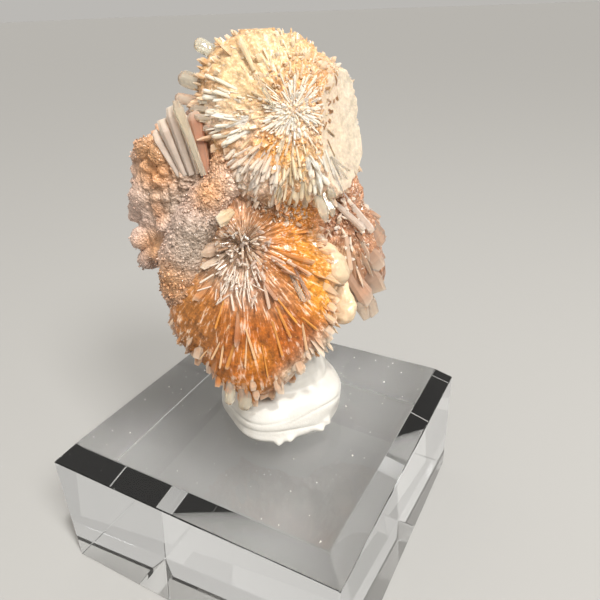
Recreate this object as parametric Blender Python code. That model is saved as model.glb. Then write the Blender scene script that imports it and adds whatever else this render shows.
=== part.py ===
"""A creedite cluster held upright by white putty on a clear display block.

The origin is the centre of the block's underside, +Z is up and the block's sides lie along X and Y.
The dimensions below are in millimetres; MM turns them into Blender's metres. The cluster and the
putty are laid out in the cluster's own frame, x to its right, y towards its back and z up from the
surface the block stands on, and that frame is turned on the block by CLUSTER_TURN.
"""

import math
import random
from collections import namedtuple

import bmesh
import bpy
from mathutils import Matrix, Quaternion, Vector

MM = 0.001
SEED = 1
GAP = 0.3
CLUSTER_TURN = 29.4

# Display block
BLOCK_SIDE = 50.0
BLOCK_HEIGHT = 24.0
BLOCK_BEVEL = 2.7

# Sprays: balls of crystals that radiate from a hub. A spray faces the front, turned about the
# vertical by turn and leaning back by lean, both in degrees. reach holds its radius in the plane
# square to that, every 30 degrees anticlockwise from its right. front and back are its depths before
# and behind the plane, and spacing is the distance between its crystals' tips.
Spray = namedtuple("Spray", "hub turn lean reach front back spacing")
SPRAYS = {
    "top": Spray(
        (6.1, -3.0, 71.6), 0, 18, (8.5, 8.8, 8.4, 10.2, 12.6, 13.4, 12.2, 11.6, 12.2, 11.6, 11.8, 11.0),
        5.5, 9.5, 3.0),
    "lower": Spray(
        (-1.3, -3.5, 55.5), 0, 14, (11.2, 10.5, 10.0, 9.0, 9.0, 8.6, 9.9, 14.0, 19.3, 24.8, 20.4, 15.2),
        6.5, 14.0, 3.2),
    "left": Spray(
        (-6.3, -0.5, 63.6), -15, 5, (6.4, 7.1, 8.0, 9.0, 9.0, 9.9, 11.6, 13.8, 16.4, 14.2, 9.6, 8.0),
        5.0, 8.5, 3.1),
    "right": Spray(
        (10.2, 2.0, 58.1), 20, 5, (5.6, 6.0, 6.4, 6.5, 6.1, 5.7, 5.9, 7.4, 9.0, 17.5, 16.6, 9.6),
        6.0, 8.0, 3.1),
    "middle": Spray(
        (4.0, -1.0, 61.0), 0, 0, (8.0,) * 12,
        6.6, 6.0, 3.1),
    "rear": Spray(
        (0.5, 4.0, 60.5), 172, 0, (10.5, 10.0, 10.5, 11.0, 10.5, 10.0, 10.5, 11.5, 14.0, 17.0, 14.0, 11.5),
        8.5, 5.0, 3.6),
}

# Crystals of a spray, as shares of the spray's radius or of the crystal's own width
GROOVE_SHARE = 0.88
TIP_SHARE = (0.93, 0.99)
END_SHARE = 0.62
CHISEL_SHARE = 0.45
END_TILT = 0.25

# Where one spray hides another's tips, they stand further apart
BURIED_SHARE = 0.86
BURIED_SPACING = 2.6
TRIED_DIRECTIONS = 9000

# Single crystals that stand out: root, tip, width and how flat they are
Crystal = namedtuple("Crystal", "root tip width flatness")
CRYSTAL_SIDES = 5
ROOT_SHARE = 0.6
SHOULDER_SHARE = 0.62
TIP_LENGTH = 0.9
TIP_SCALE = (0.62, 0.22, 1)
FEATURES = (
    Crystal((0.0, -2.0, 75.0), (-5.6, -2.0, 80.6), 2.0, 0.8),
    Crystal((-1.0, -3.0, 73.5), (-8.1, -3.0, 76.9), 1.9, 0.8),
    Crystal((-1.0, -3.0, 72.3), (-8.6, -3.0, 74.4), 1.7, 0.8),
    Crystal((2.0, -4.5, 70.7), (-7.3, -4.0, 72.9), 1.6, 0.7),
    Crystal((-6.2, -2.5, 62.5), (-8.7, -3.0, 72.4), 1.8, 0.6),
    Crystal((-5.2, -3.0, 62.5), (-6.2, -4.2, 71.8), 2.6, 0.5),
    Crystal((-8.0, 0.0, 62.5), (-17.5, -0.5, 60.4), 5.0, 0.8),
    Crystal((-7.0, 0.0, 60.0), (-18.2, -0.5, 54.0), 3.6, 0.8),
    Crystal((-7.0, 0.0, 59.0), (-17.6, 0.0, 50.2), 3.8, 0.8),
    Crystal((-7.5, 0.0, 64.0), (-16.0, -1.0, 67.0), 3.4, 0.7),
    Crystal((7.0, -6.5, 67.0), (9.3, -8.5, 59.4), 1.7, 0.6),
    Crystal((7.6, -6.0, 67.0), (10.4, -7.6, 60.7), 1.6, 0.7),
    Crystal((11.0, 2.0, 61.0), (19.2, 1.0, 51.3), 2.4, 0.45),
    Crystal((10.5, 2.0, 60.0), (18.0, 0.0, 49.8), 2.2, 0.5),
    Crystal((11.0, 2.5, 58.0), (18.3, 2.0, 46.0), 2.4, 0.5),
    Crystal((11.5, 2.5, 54.0), (17.5, 1.0, 39.2), 2.3, 0.5),
    Crystal((10.6, -2.5, 52.0), (12.4, -4.0, 41.2), 3.0, 0.8),
    Crystal((8.5, -3.0, 55.0), (12.2, -7.0, 49.0), 3.6, 0.8),
    Crystal((-3.3, -6.5, 44.0), (-2.7, -9.6, 30.7), 2.0, 0.8),
    Crystal((-4.5, -6.0, 44.0), (-5.2, -9.0, 32.2), 1.9, 0.8),
)

# The druse: a granular crust in the angle between the left and the lower spray
DRUSE_PATH = (
    ((-3.5, -4.5, 68.3), 2.4),
    ((-4.8, -5.5, 64.2), 2.9),
    ((-7.0, -6.0, 59.8), 3.6),
    ((-9.2, -6.2, 55.0), 3.9),
    ((-10.2, -5.8, 50.6), 3.7),
    ((-10.6, -5.2, 47.2), 2.9),
)
DRUSE_LUMP_ROUGHNESS = 0.12
GRAIN_COUNT = 36
GRAIN_SIZE = (0.7, 1.1)
GRAIN_SINK = 0.98
GRAIN_AIM = ((-1, 0.8), (-1, -0.2), (-0.9, 0.9))

# The flat cleavage face on the top spray's right side
CLEAVAGE_POINT = (14.4, -2.0, 71.0)
CLEAVAGE_NORMAL = (0.8, -0.61, 0.15)
CLEAVAGE_SIDE = 26.0

# Putty: a pressed foot and a dome that the lowest crystals are pushed into
FOOT_CENTRE = (2.2, -1.0, 27.0)
FOOT_RADII = (9.2, 9.2, 4.4)
DOME_CENTRE = (2.6, 0.2, 31.0)
DOME_RADII = (8.2, 7.4, 9.0)
PUTTY_SQUARENESS = 2.7
PUTTY_WAVE = 0.035
PRINT_GAP = 1.0
PINCH_ROLL = 0.3
PUTTY_PINCHES = (
    Crystal((2.4, -7.6, 26.0), (2.9, -10.4, 25.0), 1.6, 0.6),
    Crystal((7.6, -5.8, 26.2), (9.6, -9.2, 25.4), 1.3, 0.6),
)


def collection_named(name, hidden=False):
    made = bpy.data.collections.new(name)
    made.hide_render = hidden
    bpy.context.scene.collection.children.link(made)
    return made


def clear_objects():
    for old in list(bpy.data.objects):
        bpy.data.objects.remove(old, do_unlink=True)


def material(name, colour, roughness, metallic=0.0):
    made = bpy.data.materials.new(name)
    made.use_nodes = True
    shader = made.node_tree.nodes["Principled BSDF"]
    shader.inputs["Base Color"].default_value = (*colour, 1.0)
    shader.inputs["Roughness"].default_value = roughness
    shader.inputs["Metallic"].default_value = metallic
    made.diffuse_color = (*colour, 1.0)
    return made


def object_from(bm, name, collection, parent=None):
    """Puts the shape, drawn in millimetres, into an object with its faces pointing out."""
    bmesh.ops.scale(bm, vec=(MM, MM, MM), verts=bm.verts)
    bmesh.ops.recalc_face_normals(bm, faces=bm.faces)
    mesh = bpy.data.meshes.new(name)
    bm.to_mesh(mesh)
    bm.free()
    made = bpy.data.objects.new(name, mesh)
    made.parent = parent
    collection.objects.link(made)
    return made


def cutter_from(bm, name, collection, parent):
    made = object_from(bm, name, collection, parent)
    made.hide_render = True
    made.display_type = "WIRE"
    return made


def boolean(target, operation, cutter):
    """Joins or cuts with the manifold solver, because the exact one drops some of the many-faced sprays."""
    step = target.modifiers.new(cutter.name, "BOOLEAN")
    step.operation = operation
    step.object = cutter
    step.solver = "MANIFOLD"


def spray_axes(spray):
    """The direction a spray faces, its right and its up."""
    turn = math.radians(spray.turn)
    lean = math.radians(spray.lean)
    facing = Vector((math.sin(turn) * math.cos(lean), -math.cos(turn) * math.cos(lean), math.sin(lean)))
    up = (Vector((0, 0, 1)) - facing * facing.z).normalized()
    return facing, up.cross(facing), up


def reach_at(spray, clock):
    """The reach at a clock angle in radians, blended smoothly between the listed twelve."""
    step = (math.degrees(clock) % 360) / 30
    before = int(step) % 12
    share = (1 - math.cos(math.pi * (step - int(step)))) / 2
    return spray.reach[before] * (1 - share) + spray.reach[(before + 1) % 12] * share


def lobe_radius(spray, direction):
    """How far the spray's ball reaches from its hub in a direction, as an ellipsoid's radius."""
    facing, right, up = spray_axes(spray)
    forward = direction.dot(facing)
    across = direction.dot(right)
    rise = direction.dot(up)
    depth = spray.front if forward > 0 else spray.back
    reach = reach_at(spray, math.atan2(rise, across))
    return 1 / math.hypot(forward / depth, math.hypot(across, rise) / reach)


def inside_lobe(spray, point, share):
    away = point - Vector(spray.hub)
    return away.length < share * lobe_radius(spray, away.normalized())


def even_directions(count):
    """Directions spread evenly over a sphere along a golden-angle spiral."""
    golden = math.pi * (3 - math.sqrt(5))
    for index in range(count):
        rise = 1 - 2 * (index + 0.5) / count
        ring = math.sqrt(1 - rise * rise)
        yield Vector((ring * math.cos(golden * index), ring * math.sin(golden * index), rise))


def spray_directions(name):
    """Where a spray's crystals point: their tips are spaced evenly, wider where other sprays bury them."""
    spray = SPRAYS[name]
    others = [other for key, other in SPRAYS.items() if key != name]
    chance = random.Random(f"{SEED} {name}")
    tried = list(even_directions(TRIED_DIRECTIONS))
    chance.shuffle(tried)
    placed = []
    for direction in tried:
        tip = Vector(spray.hub) + direction * lobe_radius(spray, direction)
        buried = any(inside_lobe(other, tip, BURIED_SHARE) for other in others)
        spacing = spray.spacing * (BURIED_SPACING if buried else 1)
        if all((tip - other).length > min(spacing, apart) for _, other, apart in placed):
            placed.append((direction, tip, spacing))
    return [direction for direction, _, _ in placed]


def faces_around(vert):
    """The faces at a vertex of a closed mesh, in order."""
    start = vert.link_loops[0]
    loop = start
    around = []
    while not around or loop != start:
        around.append(loop.face)
        loop = loop.link_loop_prev.link_loop_radial_next
    return around


def grooved_ball(name):
    """A spray as one closed surface of packed crystals.

    The directions of the crystals share out the sphere in cells. The corners of a cell lie in the
    grooves between crystals, and inside them a flat chisel end stands at the crystal's own length.
    """
    spray = SPRAYS[name]
    chance = random.Random(f"{SEED} {name} ends")
    hull = bmesh.new()
    for direction in spray_directions(name):
        hull.verts.new(direction)
    bmesh.ops.convex_hull(hull, input=hull.verts)
    bmesh.ops.recalc_face_normals(hull, faces=hull.faces)
    hull.faces.index_update()
    bm = bmesh.new()
    corners = [
        bm.verts.new(face.normal * GROOVE_SHARE * lobe_radius(spray, face.normal)) for face in hull.faces]
    for vert in hull.verts:
        direction = vert.co.normalized()
        side = direction.orthogonal().normalized()
        side.rotate(Quaternion(direction, chance.uniform(0, math.pi)))
        cross = direction.cross(side)
        around = faces_around(vert)
        length = chance.uniform(*TIP_SHARE) * lobe_radius(spray, direction)
        lean = (direction + side * chance.uniform(-END_TILT, END_TILT)).normalized()
        ends = []
        for face in around:
            offset = face.normal - direction * face.normal.dot(direction)
            offset -= cross * offset.dot(cross) * (1 - CHISEL_SHARE)
            aim = (direction + offset * END_SHARE).normalized()
            ends.append(bm.verts.new(aim * length * direction.dot(lean) / aim.dot(lean)))
        bm.faces.new(ends)
        for index, face in enumerate(around):
            after = (index + 1) % len(around)
            bm.faces.new((corners[face.index], corners[around[after].index], ends[after], ends[index]))
    hull.free()
    bmesh.ops.triangulate(bm, faces=bm.faces)
    bmesh.ops.translate(bm, vec=spray.hub, verts=bm.verts)
    return bm


def crystal_shape(crystal, roll, grow=0.0):
    """A prism that widens from its root and ends in a bevelled chisel tip. grow thickens it all round."""
    bm = bmesh.new()
    root = Vector(crystal.root)
    axis = Vector(crystal.tip) - root
    length = axis.length + grow
    radius = crystal.width / 2 + grow
    shoulder = max(SHOULDER_SHARE * length, length - TIP_LENGTH * crystal.width)
    shank = bmesh.ops.create_cone(
        bm, cap_ends=True, segments=CRYSTAL_SIDES, radius1=ROOT_SHARE * radius, radius2=radius,
        depth=shoulder)
    verts = shank["verts"]
    bmesh.ops.translate(bm, vec=(0, 0, shoulder / 2), verts=verts)
    cap = max(bm.faces, key=lambda face: face.calc_center_median().z)
    raised = bmesh.ops.extrude_face_region(bm, geom=[cap])
    top = [item for item in raised["geom"] if isinstance(item, bmesh.types.BMVert)]
    bmesh.ops.delete(bm, geom=[cap], context="FACES_ONLY")
    bmesh.ops.scale(bm, vec=TIP_SCALE, verts=top)
    bmesh.ops.translate(bm, vec=(0, 0, length - shoulder), verts=top)
    bmesh.ops.scale(bm, vec=(1, crystal.flatness, 1), verts=bm.verts)
    turn = axis.to_track_quat("Z", "Y") @ Quaternion((0, 0, 1), roll)
    bmesh.ops.transform(bm, matrix=Matrix.Translation(root) @ turn.to_matrix().to_4x4(), verts=bm.verts)
    return bm


def single_crystals(grow=0.0):
    """The crystals that stand out, each a closed shape of its own."""
    chance = random.Random(f"{SEED} features")
    for crystal in FEATURES:
        yield crystal_shape(crystal, chance.uniform(0, math.pi), grow)


def smooth_ball(name, grow=0.0):
    """A spray's ball without its grooves, grown all round."""
    spray = SPRAYS[name]
    bm = bmesh.new()
    bmesh.ops.create_icosphere(bm, subdivisions=3, radius=1)
    for vert in bm.verts:
        direction = vert.co.normalized()
        vert.co = Vector(spray.hub) + direction * (lobe_radius(spray, direction) + grow)
    return bm


def druse_lump(centre, radius, number):
    chance = random.Random(f"{SEED} lump {number}")
    bm = bmesh.new()
    bmesh.ops.create_icosphere(bm, subdivisions=2, radius=radius)
    for vert in bm.verts:
        vert.co *= 1 + chance.uniform(-DRUSE_LUMP_ROUGHNESS, DRUSE_LUMP_ROUGHNESS)
    bmesh.ops.translate(bm, vec=centre, verts=bm.verts)
    return bm


def druse_grains():
    """Small angular grains sitting half sunk on the front of the druse lumps."""
    chance = random.Random(f"{SEED} grains")
    for _ in range(GRAIN_COUNT):
        centre, radius = chance.choice(DRUSE_PATH)
        aim = Vector([chance.uniform(*ends) for ends in GRAIN_AIM]).normalized()
        bm = bmesh.new()
        bmesh.ops.create_icosphere(bm, subdivisions=1, radius=chance.uniform(*GRAIN_SIZE))
        turn = Quaternion(aim, chance.uniform(0, math.pi)).to_matrix().to_4x4()
        bmesh.ops.transform(
            bm, matrix=Matrix.Translation(Vector(centre) + aim * radius * GRAIN_SINK) @ turn, verts=bm.verts)
        yield bm


def cleavage_cutter():
    """A box whose face is the flat cleavage plane, standing on the side that is cut away."""
    normal = Vector(CLEAVAGE_NORMAL).normalized()
    bm = bmesh.new()
    bmesh.ops.create_cube(bm, size=CLEAVAGE_SIDE)
    bmesh.ops.translate(bm, vec=(0, 0, CLEAVAGE_SIDE / 2), verts=bm.verts)
    turn = normal.to_track_quat("Z", "Y").to_matrix().to_4x4()
    bmesh.ops.transform(bm, matrix=Matrix.Translation(CLEAVAGE_POINT) @ turn, verts=bm.verts)
    return bm


def creedite_cluster(parts, cutters, axis):
    """The specimen: the sprays, the druse and the single crystals joined in one solid."""
    names = list(SPRAYS)
    cluster = object_from(grooved_ball(names[0]), "creedite_cluster", parts, axis)
    shapes = [(f"spray_{name}", grooved_ball(name)) for name in names[1:]]
    shapes += [(f"lump_{number}", druse_lump(*lump, number)) for number, lump in enumerate(DRUSE_PATH)]
    shapes += [(f"grain_{number}", bm) for number, bm in enumerate(druse_grains())]
    shapes += [(f"crystal_{number}", bm) for number, bm in enumerate(single_crystals())]
    for name, bm in shapes:
        boolean(cluster, "UNION", cutter_from(bm, name, cutters, axis))
    boolean(cluster, "DIFFERENCE", cutter_from(cleavage_cutter(), "cleavage", cutters, axis))
    cluster.data.materials.append(material("creedite", (0.72, 0.42, 0.2), 0.22))
    return cluster


def putty_lump(centre, radii, segments, rings):
    """A ball with flattened sides and a slow wave in its outline, as hand-pressed putty has."""
    bm = bmesh.new()
    bmesh.ops.create_uvsphere(bm, u_segments=segments, v_segments=rings, radius=1)
    for vert in bm.verts:
        clock = math.atan2(vert.co.y, vert.co.x)
        level = math.hypot(vert.co.x, vert.co.y)
        squared = (level ** PUTTY_SQUARENESS + abs(vert.co.z) ** PUTTY_SQUARENESS) ** (-1 / PUTTY_SQUARENESS)
        wave = 1 + PUTTY_WAVE * (math.sin(3 * clock + 4 * vert.co.z) + math.sin(5 * clock - 2 * vert.co.z))
        vert.co = Vector(centre) + Vector(
            part * radius * wave * squared for part, radius in zip(vert.co, radii))
    return bm


def putty_print(cutters, axis):
    """The cluster grown by the gap, that leaves its print in the putty."""
    printed = cutter_from(smooth_ball("lower", PRINT_GAP), "print_lower", cutters, axis)
    shapes = [smooth_ball(name, PRINT_GAP) for name in ("right", "rear")] + list(single_crystals(PRINT_GAP))
    for number, bm in enumerate(shapes):
        boolean(printed, "UNION", cutter_from(bm, f"print_{number}", cutters, axis))
    return printed


def mounting_putty(parts, cutters, axis):
    """The white putty: a pressed foot and a dome, printed by the crystals and flat underneath."""
    putty = object_from(putty_lump(FOOT_CENTRE, FOOT_RADII, 28, 10), "mounting_putty", parts, axis)
    dome = putty_lump(DOME_CENTRE, DOME_RADII, 24, 12)
    boolean(putty, "UNION", cutter_from(dome, "putty_dome", cutters, axis))
    for number, pinch in enumerate(PUTTY_PINCHES):
        bm = crystal_shape(pinch, PINCH_ROLL)
        boolean(putty, "UNION", cutter_from(bm, f"putty_pinch_{number}", cutters, axis))
    bm = bmesh.new()
    bmesh.ops.create_cube(bm, size=BLOCK_SIDE)
    bmesh.ops.translate(bm, vec=(0, 0, BLOCK_HEIGHT + GAP - BLOCK_SIDE / 2), verts=bm.verts)
    boolean(putty, "DIFFERENCE", cutter_from(bm, "block_top", cutters, axis))
    boolean(putty, "DIFFERENCE", putty_print(cutters, axis))
    putty.data.materials.append(material("putty", (0.85, 0.83, 0.79), 0.55))
    return putty


def acrylic_block(parts):
    """A square block with the edges of its top face bevelled at 45 degrees."""
    bm = bmesh.new()
    bmesh.ops.create_cube(bm, size=1)
    bmesh.ops.scale(bm, vec=(BLOCK_SIDE, BLOCK_SIDE, BLOCK_HEIGHT), verts=bm.verts)
    bmesh.ops.translate(bm, vec=(0, 0, BLOCK_HEIGHT / 2), verts=bm.verts)
    top = [edge for edge in bm.edges if all(vert.co.z > BLOCK_HEIGHT / 2 for vert in edge.verts)]
    bmesh.ops.bevel(bm, geom=top, offset=BLOCK_BEVEL, segments=1, affect="EDGES")
    block = object_from(bm, "acrylic_block", parts)
    block.data.materials.append(material("clear_acrylic", (0.93, 0.95, 0.96), 0.02))
    return block


def main():
    clear_objects()
    parts = collection_named("creedite_cluster_on_block")
    cutters = collection_named("cutters", hidden=True)
    axis = bpy.data.objects.new("cluster_axis", None)
    axis.rotation_euler.z = math.radians(CLUSTER_TURN)
    parts.objects.link(axis)
    acrylic_block(parts)
    creedite_cluster(parts, cutters, axis)
    mounting_putty(parts, cutters, axis)
    bpy.context.view_layer.update()


main()
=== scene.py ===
"""Creedite cluster in white putty on a clear block: the looks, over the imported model.

Sizes are in millimetres and turned to metres at the end. The cluster and the putty are worked out
in the cluster's own frame, x to its right, y towards its back and z up from the surface the block
stands on, and that frame is turned on the block by CLUSTER_TURN.
"""

import math
from collections import namedtuple
from functools import partial

import bpy
import numpy as np
from bpy.props import FloatProperty, FloatVectorProperty, IntProperty, PointerProperty
from bpy.types import Operator, Panel, PropertyGroup
from mathutils import Matrix, Vector


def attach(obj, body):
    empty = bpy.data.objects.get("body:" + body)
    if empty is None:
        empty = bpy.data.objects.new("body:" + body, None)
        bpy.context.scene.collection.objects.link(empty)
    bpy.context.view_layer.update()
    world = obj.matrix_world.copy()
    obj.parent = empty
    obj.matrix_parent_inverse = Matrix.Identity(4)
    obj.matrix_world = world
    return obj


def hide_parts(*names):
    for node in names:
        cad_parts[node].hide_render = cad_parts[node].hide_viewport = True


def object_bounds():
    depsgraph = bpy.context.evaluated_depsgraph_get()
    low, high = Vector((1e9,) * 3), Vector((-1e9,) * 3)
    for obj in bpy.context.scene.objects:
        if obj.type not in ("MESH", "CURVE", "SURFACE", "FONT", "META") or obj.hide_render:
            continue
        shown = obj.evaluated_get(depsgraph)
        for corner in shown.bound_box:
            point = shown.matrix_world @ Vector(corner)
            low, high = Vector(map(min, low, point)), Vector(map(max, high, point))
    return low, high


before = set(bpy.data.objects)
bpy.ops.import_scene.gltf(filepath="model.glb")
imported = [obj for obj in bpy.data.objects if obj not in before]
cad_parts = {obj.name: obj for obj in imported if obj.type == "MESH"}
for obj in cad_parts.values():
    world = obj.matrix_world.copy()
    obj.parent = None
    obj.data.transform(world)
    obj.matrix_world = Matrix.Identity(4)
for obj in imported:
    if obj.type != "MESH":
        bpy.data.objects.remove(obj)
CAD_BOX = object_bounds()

bl_info = {
    "name": "Creedite cluster on a clear block",
    "version": (1, 0, 0),
    "blender": (4, 5, 0),
    "location": "View3D > Sidebar > Creedite",
    "description": "Builds a creedite crystal cluster held by white putty on a clear display block",
    "category": "Add Mesh",
}

MM = 0.001
# The cluster's turn on the block, in degrees
CLUSTER_TURN = 29.4
SEED = 7


def records(kind, *table):
    """A table's rows as records of one kind."""
    return [kind(*row) for row in table]


# Sprays: balls of crystals on a fibrous body.
# hub, turn, lean: the ball's middle, and the way it faces in degrees
# reach: how far it spreads every 30 degrees anticlockwise from its right, in the plane it faces
# front, back: its depths before and behind that plane
# heart: how far behind the front the point lies that the crystals fan out from
# spacing, width, flatness, length: of the crystals, whose length is the most that they run inwards
# open: the share of tips left out in front of the rim, where the body lies bare
# stray, tips: how much crystals waver, and how far out they end as a share of the ball
# core, dish: the body's size as a share of the ball, and how much it is hollowed in front
# clear, ground: the share of glassy crystals, and the colour where no zone reaches
Spray = namedtuple(
    "Spray", "hub turn lean reach front back heart spacing width flatness length open stray tips core dish "
    "clear ground")
SPRAYS = {
    "top": Spray(
        (6.1, -3.0, 71.6), 0, 18, (8.5, 8.8, 8.4, 10.2, 12.6, 13.4, 12.2, 11.6, 12.2, 11.6, 11.8, 11.0),
        5.5, 9.5, 4.5, 0.9, (0.5, 1.1), 0.6, 4.0, 0.85, 0.05, (0.95, 0.995), 0.975, 0.0, 0.4, "tan"),
    "lower": Spray(
        (-1.3, -3.5, 55.5), 0, 14, (11.2, 10.5, 10.0, 9.0, 9.0, 8.6, 9.9, 14.0, 19.3, 24.8, 20.4, 15.2),
        6.5, 14.0, 1.8, 1.0, (0.8, 1.7), 0.5, 6.0, 0.985, 0.02, (0.94, 1.0), 0.96, 0.2, 0.4, "orange"),
    "left": Spray(
        (-6.3, -0.5, 63.6), -15, 5, (6.4, 7.1, 8.0, 9.0, 9.0, 9.9, 11.6, 13.8, 16.4, 14.2, 9.6, 8.0),
        5.0, 8.5, 3.4, 2.6, (1.8, 3.2), 0.7, 9.0, 0.85, 0.05, (0.92, 0.98), 0.965, 0.0, 0.0, "rose grey"),
    "right": Spray(
        (10.2, 2.0, 58.1), 20, 5, (5.6, 6.0, 6.4, 6.5, 6.1, 5.7, 5.9, 7.4, 9.0, 17.5, 16.6, 9.6),
        6.0, 8.0, 2.4, 2.0, (1.8, 3.6), 0.3, 9.0, 0.93, 0.03, (0.94, 1.0), 0.98, 0.05, 0.5, "mauve"),
    "middle": Spray(
        (4.0, -1.0, 61.0), 0, 0, (8.0,) * 12,
        6.6, 6.0, 4.0, 1.4, (0.6, 1.3), 0.6, 4.0, 0.85, 0.12, (0.96, 1.0), 0.985, 0.0, 0.4, "orange"),
    "rear": Spray(
        (0.5, 4.0, 60.5), 172, 0, (10.5, 10.0, 10.5, 11.0, 10.5, 10.0, 10.5, 11.5, 14.0, 17.0, 14.0, 11.5),
        8.5, 5.0, 3.0, 1.1, (0.8, 1.8), 0.6, 6.0, 0.9, 0.03, (0.95, 1.0), 0.96, 0.1, 0.35, "tan"),
}

# Fans: crystals lying on a spray, in a range of clock degrees anticlockwise from its right. start is
# how far from the hub's axis they begin, and lift how far their tips stand off the ball
Fan = namedtuple("Fan", "spray clock count start length width lift clear ground")
FANS = records(
    Fan,
    # The white fans on the top spray are pale needles whose near-white colour is partly painted highlight,
    # standing in for their glints
    ("top", (0, 360), 150, (0.1, 1.4), (0.9, 3.6), (0.22, 0.42), (-0.1, 0.3), 0.6, "white"),
    ("top", (0, 360), 70, (1.5, 6.0), (1.5, 3.0), (0.22, 0.42), (-0.1, 0.15), 0.6, "cream"),
    ("top", (160, 202), 30, (4.5, 8.0), (3.0, 6.0), (0.35, 0.7), (-0.1, 0.4), 0.8, "white"),
    ("top", (205, 255), 40, (4.5, 8.5), (2.5, 5.0), (0.35, 0.75), (-0.1, 0.4), 0.8, "pale rose"),
    ("top", (255, 290), 30, (5.0, 9.0), (2.0, 4.0), (0.4, 0.75), (-0.1, 0.4), 0.7, "cream"),
    ("top", (285, 314), 28, (5.0, 8.5), (2.0, 4.5), (0.4, 0.85), (-0.1, 0.4), 0.8, "white"),
    ("lower", (0, 360), 20, (0.2, 2.0), (0.8, 2.0), (0.25, 0.45), (0.0, 0.4), 0.3, "brown"),
    ("lower", (215, 300), 46, (3.0, 7.5), (0.9, 2.4), (0.2, 0.36), (-0.05, 0.25), 0.8, "pale rose"),
    ("lower", (285, 345), 9, (3.0, 8.0), (2.0, 4.5), (0.3, 0.6), (-0.15, 0.15), 0.7, "mauve"),
    ("lower", (235, 305), 14, (8.0, 15.0), (3.0, 7.0), (0.3, 0.6), (-0.15, 0.1), 0.3, "amber"),
    ("right", (250, 320), 12, (3.0, 9.0), (4.0, 8.0), (1.0, 2.0), (0.0, 0.3), 0.7, "mauve"),
    ("rear", (200, 340), 50, (3.0, 9.0), (2.5, 5.5), (0.5, 1.0), (0.0, 0.4), 0.6, "pale rose"),
)

# Scatters: small crystals lying every way on a spray round a place
Scatter = namedtuple("Scatter", "spray place radius count length width clear ground")
SCATTERS = records(
    Scatter,
    ("top", (8.0, -7.5, 75.5), 5.5, 260, (0.4, 1.2), (0.25, 0.5), 0.6, "tan"),
    ("top", (5.5, -8.5, 68.0), 4.0, 90, (0.4, 1.1), (0.25, 0.5), 0.6, "amber"),
    ("top", (0.0, -5.0, 75.0), 6.0, 50, (0.4, 1.1), (0.25, 0.5), 0.6, "cream"),
    ("lower", (-1.3, -10.0, 55.0), 4.5, 70, (0.4, 1.1), (0.25, 0.5), 0.6, "rose grey"),
    ("middle", (3.5, -7.5, 60.5), 4.0, 160, (0.5, 1.3), (0.25, 0.6), 0.5, "brown"),
    ("right", (14.0, -3.0, 55.0), 6.0, 60, (0.5, 1.8), (0.3, 0.8), 0.8, "pale rose"),
    ("rear", (0.5, 8.5, 62.0), 7.0, 260, (0.6, 1.6), (0.3, 0.7), 0.6, "tan"),
)
# Random places tried on a ball for tips, of which few are kept
TRIED_TIPS = 60000
# One tip in fourteen gets a crystal this much stouter than the others
STOUT_ABOVE = 0.93
STOUT_BY = 0.8
# Where open applies, as shares of the front depth
RING = (0.3, 1.1)
# Tips that lie deeper than this share of another ball's radius are hidden, and left out
BURIED_SHARE = 0.84
# Fans: how far off the ball roots start, how far crystals stray round the clock in radians, and the
# shortest one kept
FAN_ROOTS = (-0.7, -0.2)
FAN_STRAY = 0.07
FAN_SHORTEST = 0.8
# Scatters: how far crystals lean out of the ball's own directions, and how deep they are sunk
SCATTER_STRAY = 0.75
SCATTER_SUNK = 0.25
# What is kept free below the top of the model's box
BOX_GAP = 0.03

# Single crystals that stand out: root, tip, width, how flat they are and their colour
Crystal = namedtuple("Crystal", "root tip width flatness ground")

# Chisel-ended ones, clear and then stained, whose broad faces look this way
TOWARDS_VIEW = np.array([[0.0, -1.0, 0.2]])
CLEAR_BLADES = records(
    Crystal,
    ((-5.7, -6.6, 65.4), (-8.5, -4.8, 74.4), 1.3, 0.7, "white"),
    ((0.6, -5.8, 72.8), (-6.9, -4.0, 73.3), 1.2, 0.7, "white"),
    ((0.8, -6.2, 71.9), (-6.3, -5.0, 72.3), 1.0, 0.7, "white"),
    ((0.4, -6.2, 71.1), (-5.3, -5.5, 71.1), 0.9, 0.8, "pale rose"),
    ((7.4, -6.6, 65.9), (9.8, -9.9, 59.8), 1.3, 0.7, "white"),
    ((8.3, -6.4, 65.6), (10.7, -9.4, 60.3), 1.2, 0.7, "white"),
    ((3.4, -8.2, 74.9), (1.6, -8.8, 77.6), 0.55, 0.8, "white"),
    ((3.8, -8.2, 73.6), (2.5, -9.0, 76.1), 0.55, 0.8, "white"),
    ((12.4, 1.6, 60.5), (18.6, 0.0, 52.4), 2.9, 0.4, "pale rose"),
    ((13.0, 0.6, 50.5), (16.4, -0.5, 40.0), 2.4, 0.45, "pale rose"),
    ((13.8, 1.2, 50.0), (17.8, 0.5, 40.2), 2.2, 0.45, "pale rose"),
    ((-5.0, -8.9, 45.0), (-7.2, -10.2, 41.2), 1.3, 0.8, "white"),
    ((4.5, -9.2, 53.0), (6.6, -10.4, 48.6), 0.8, 0.6, "white"),
    ((5.3, -9.0, 53.2), (7.4, -10.2, 48.9), 0.7, 0.6, "pale rose"),
)
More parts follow.
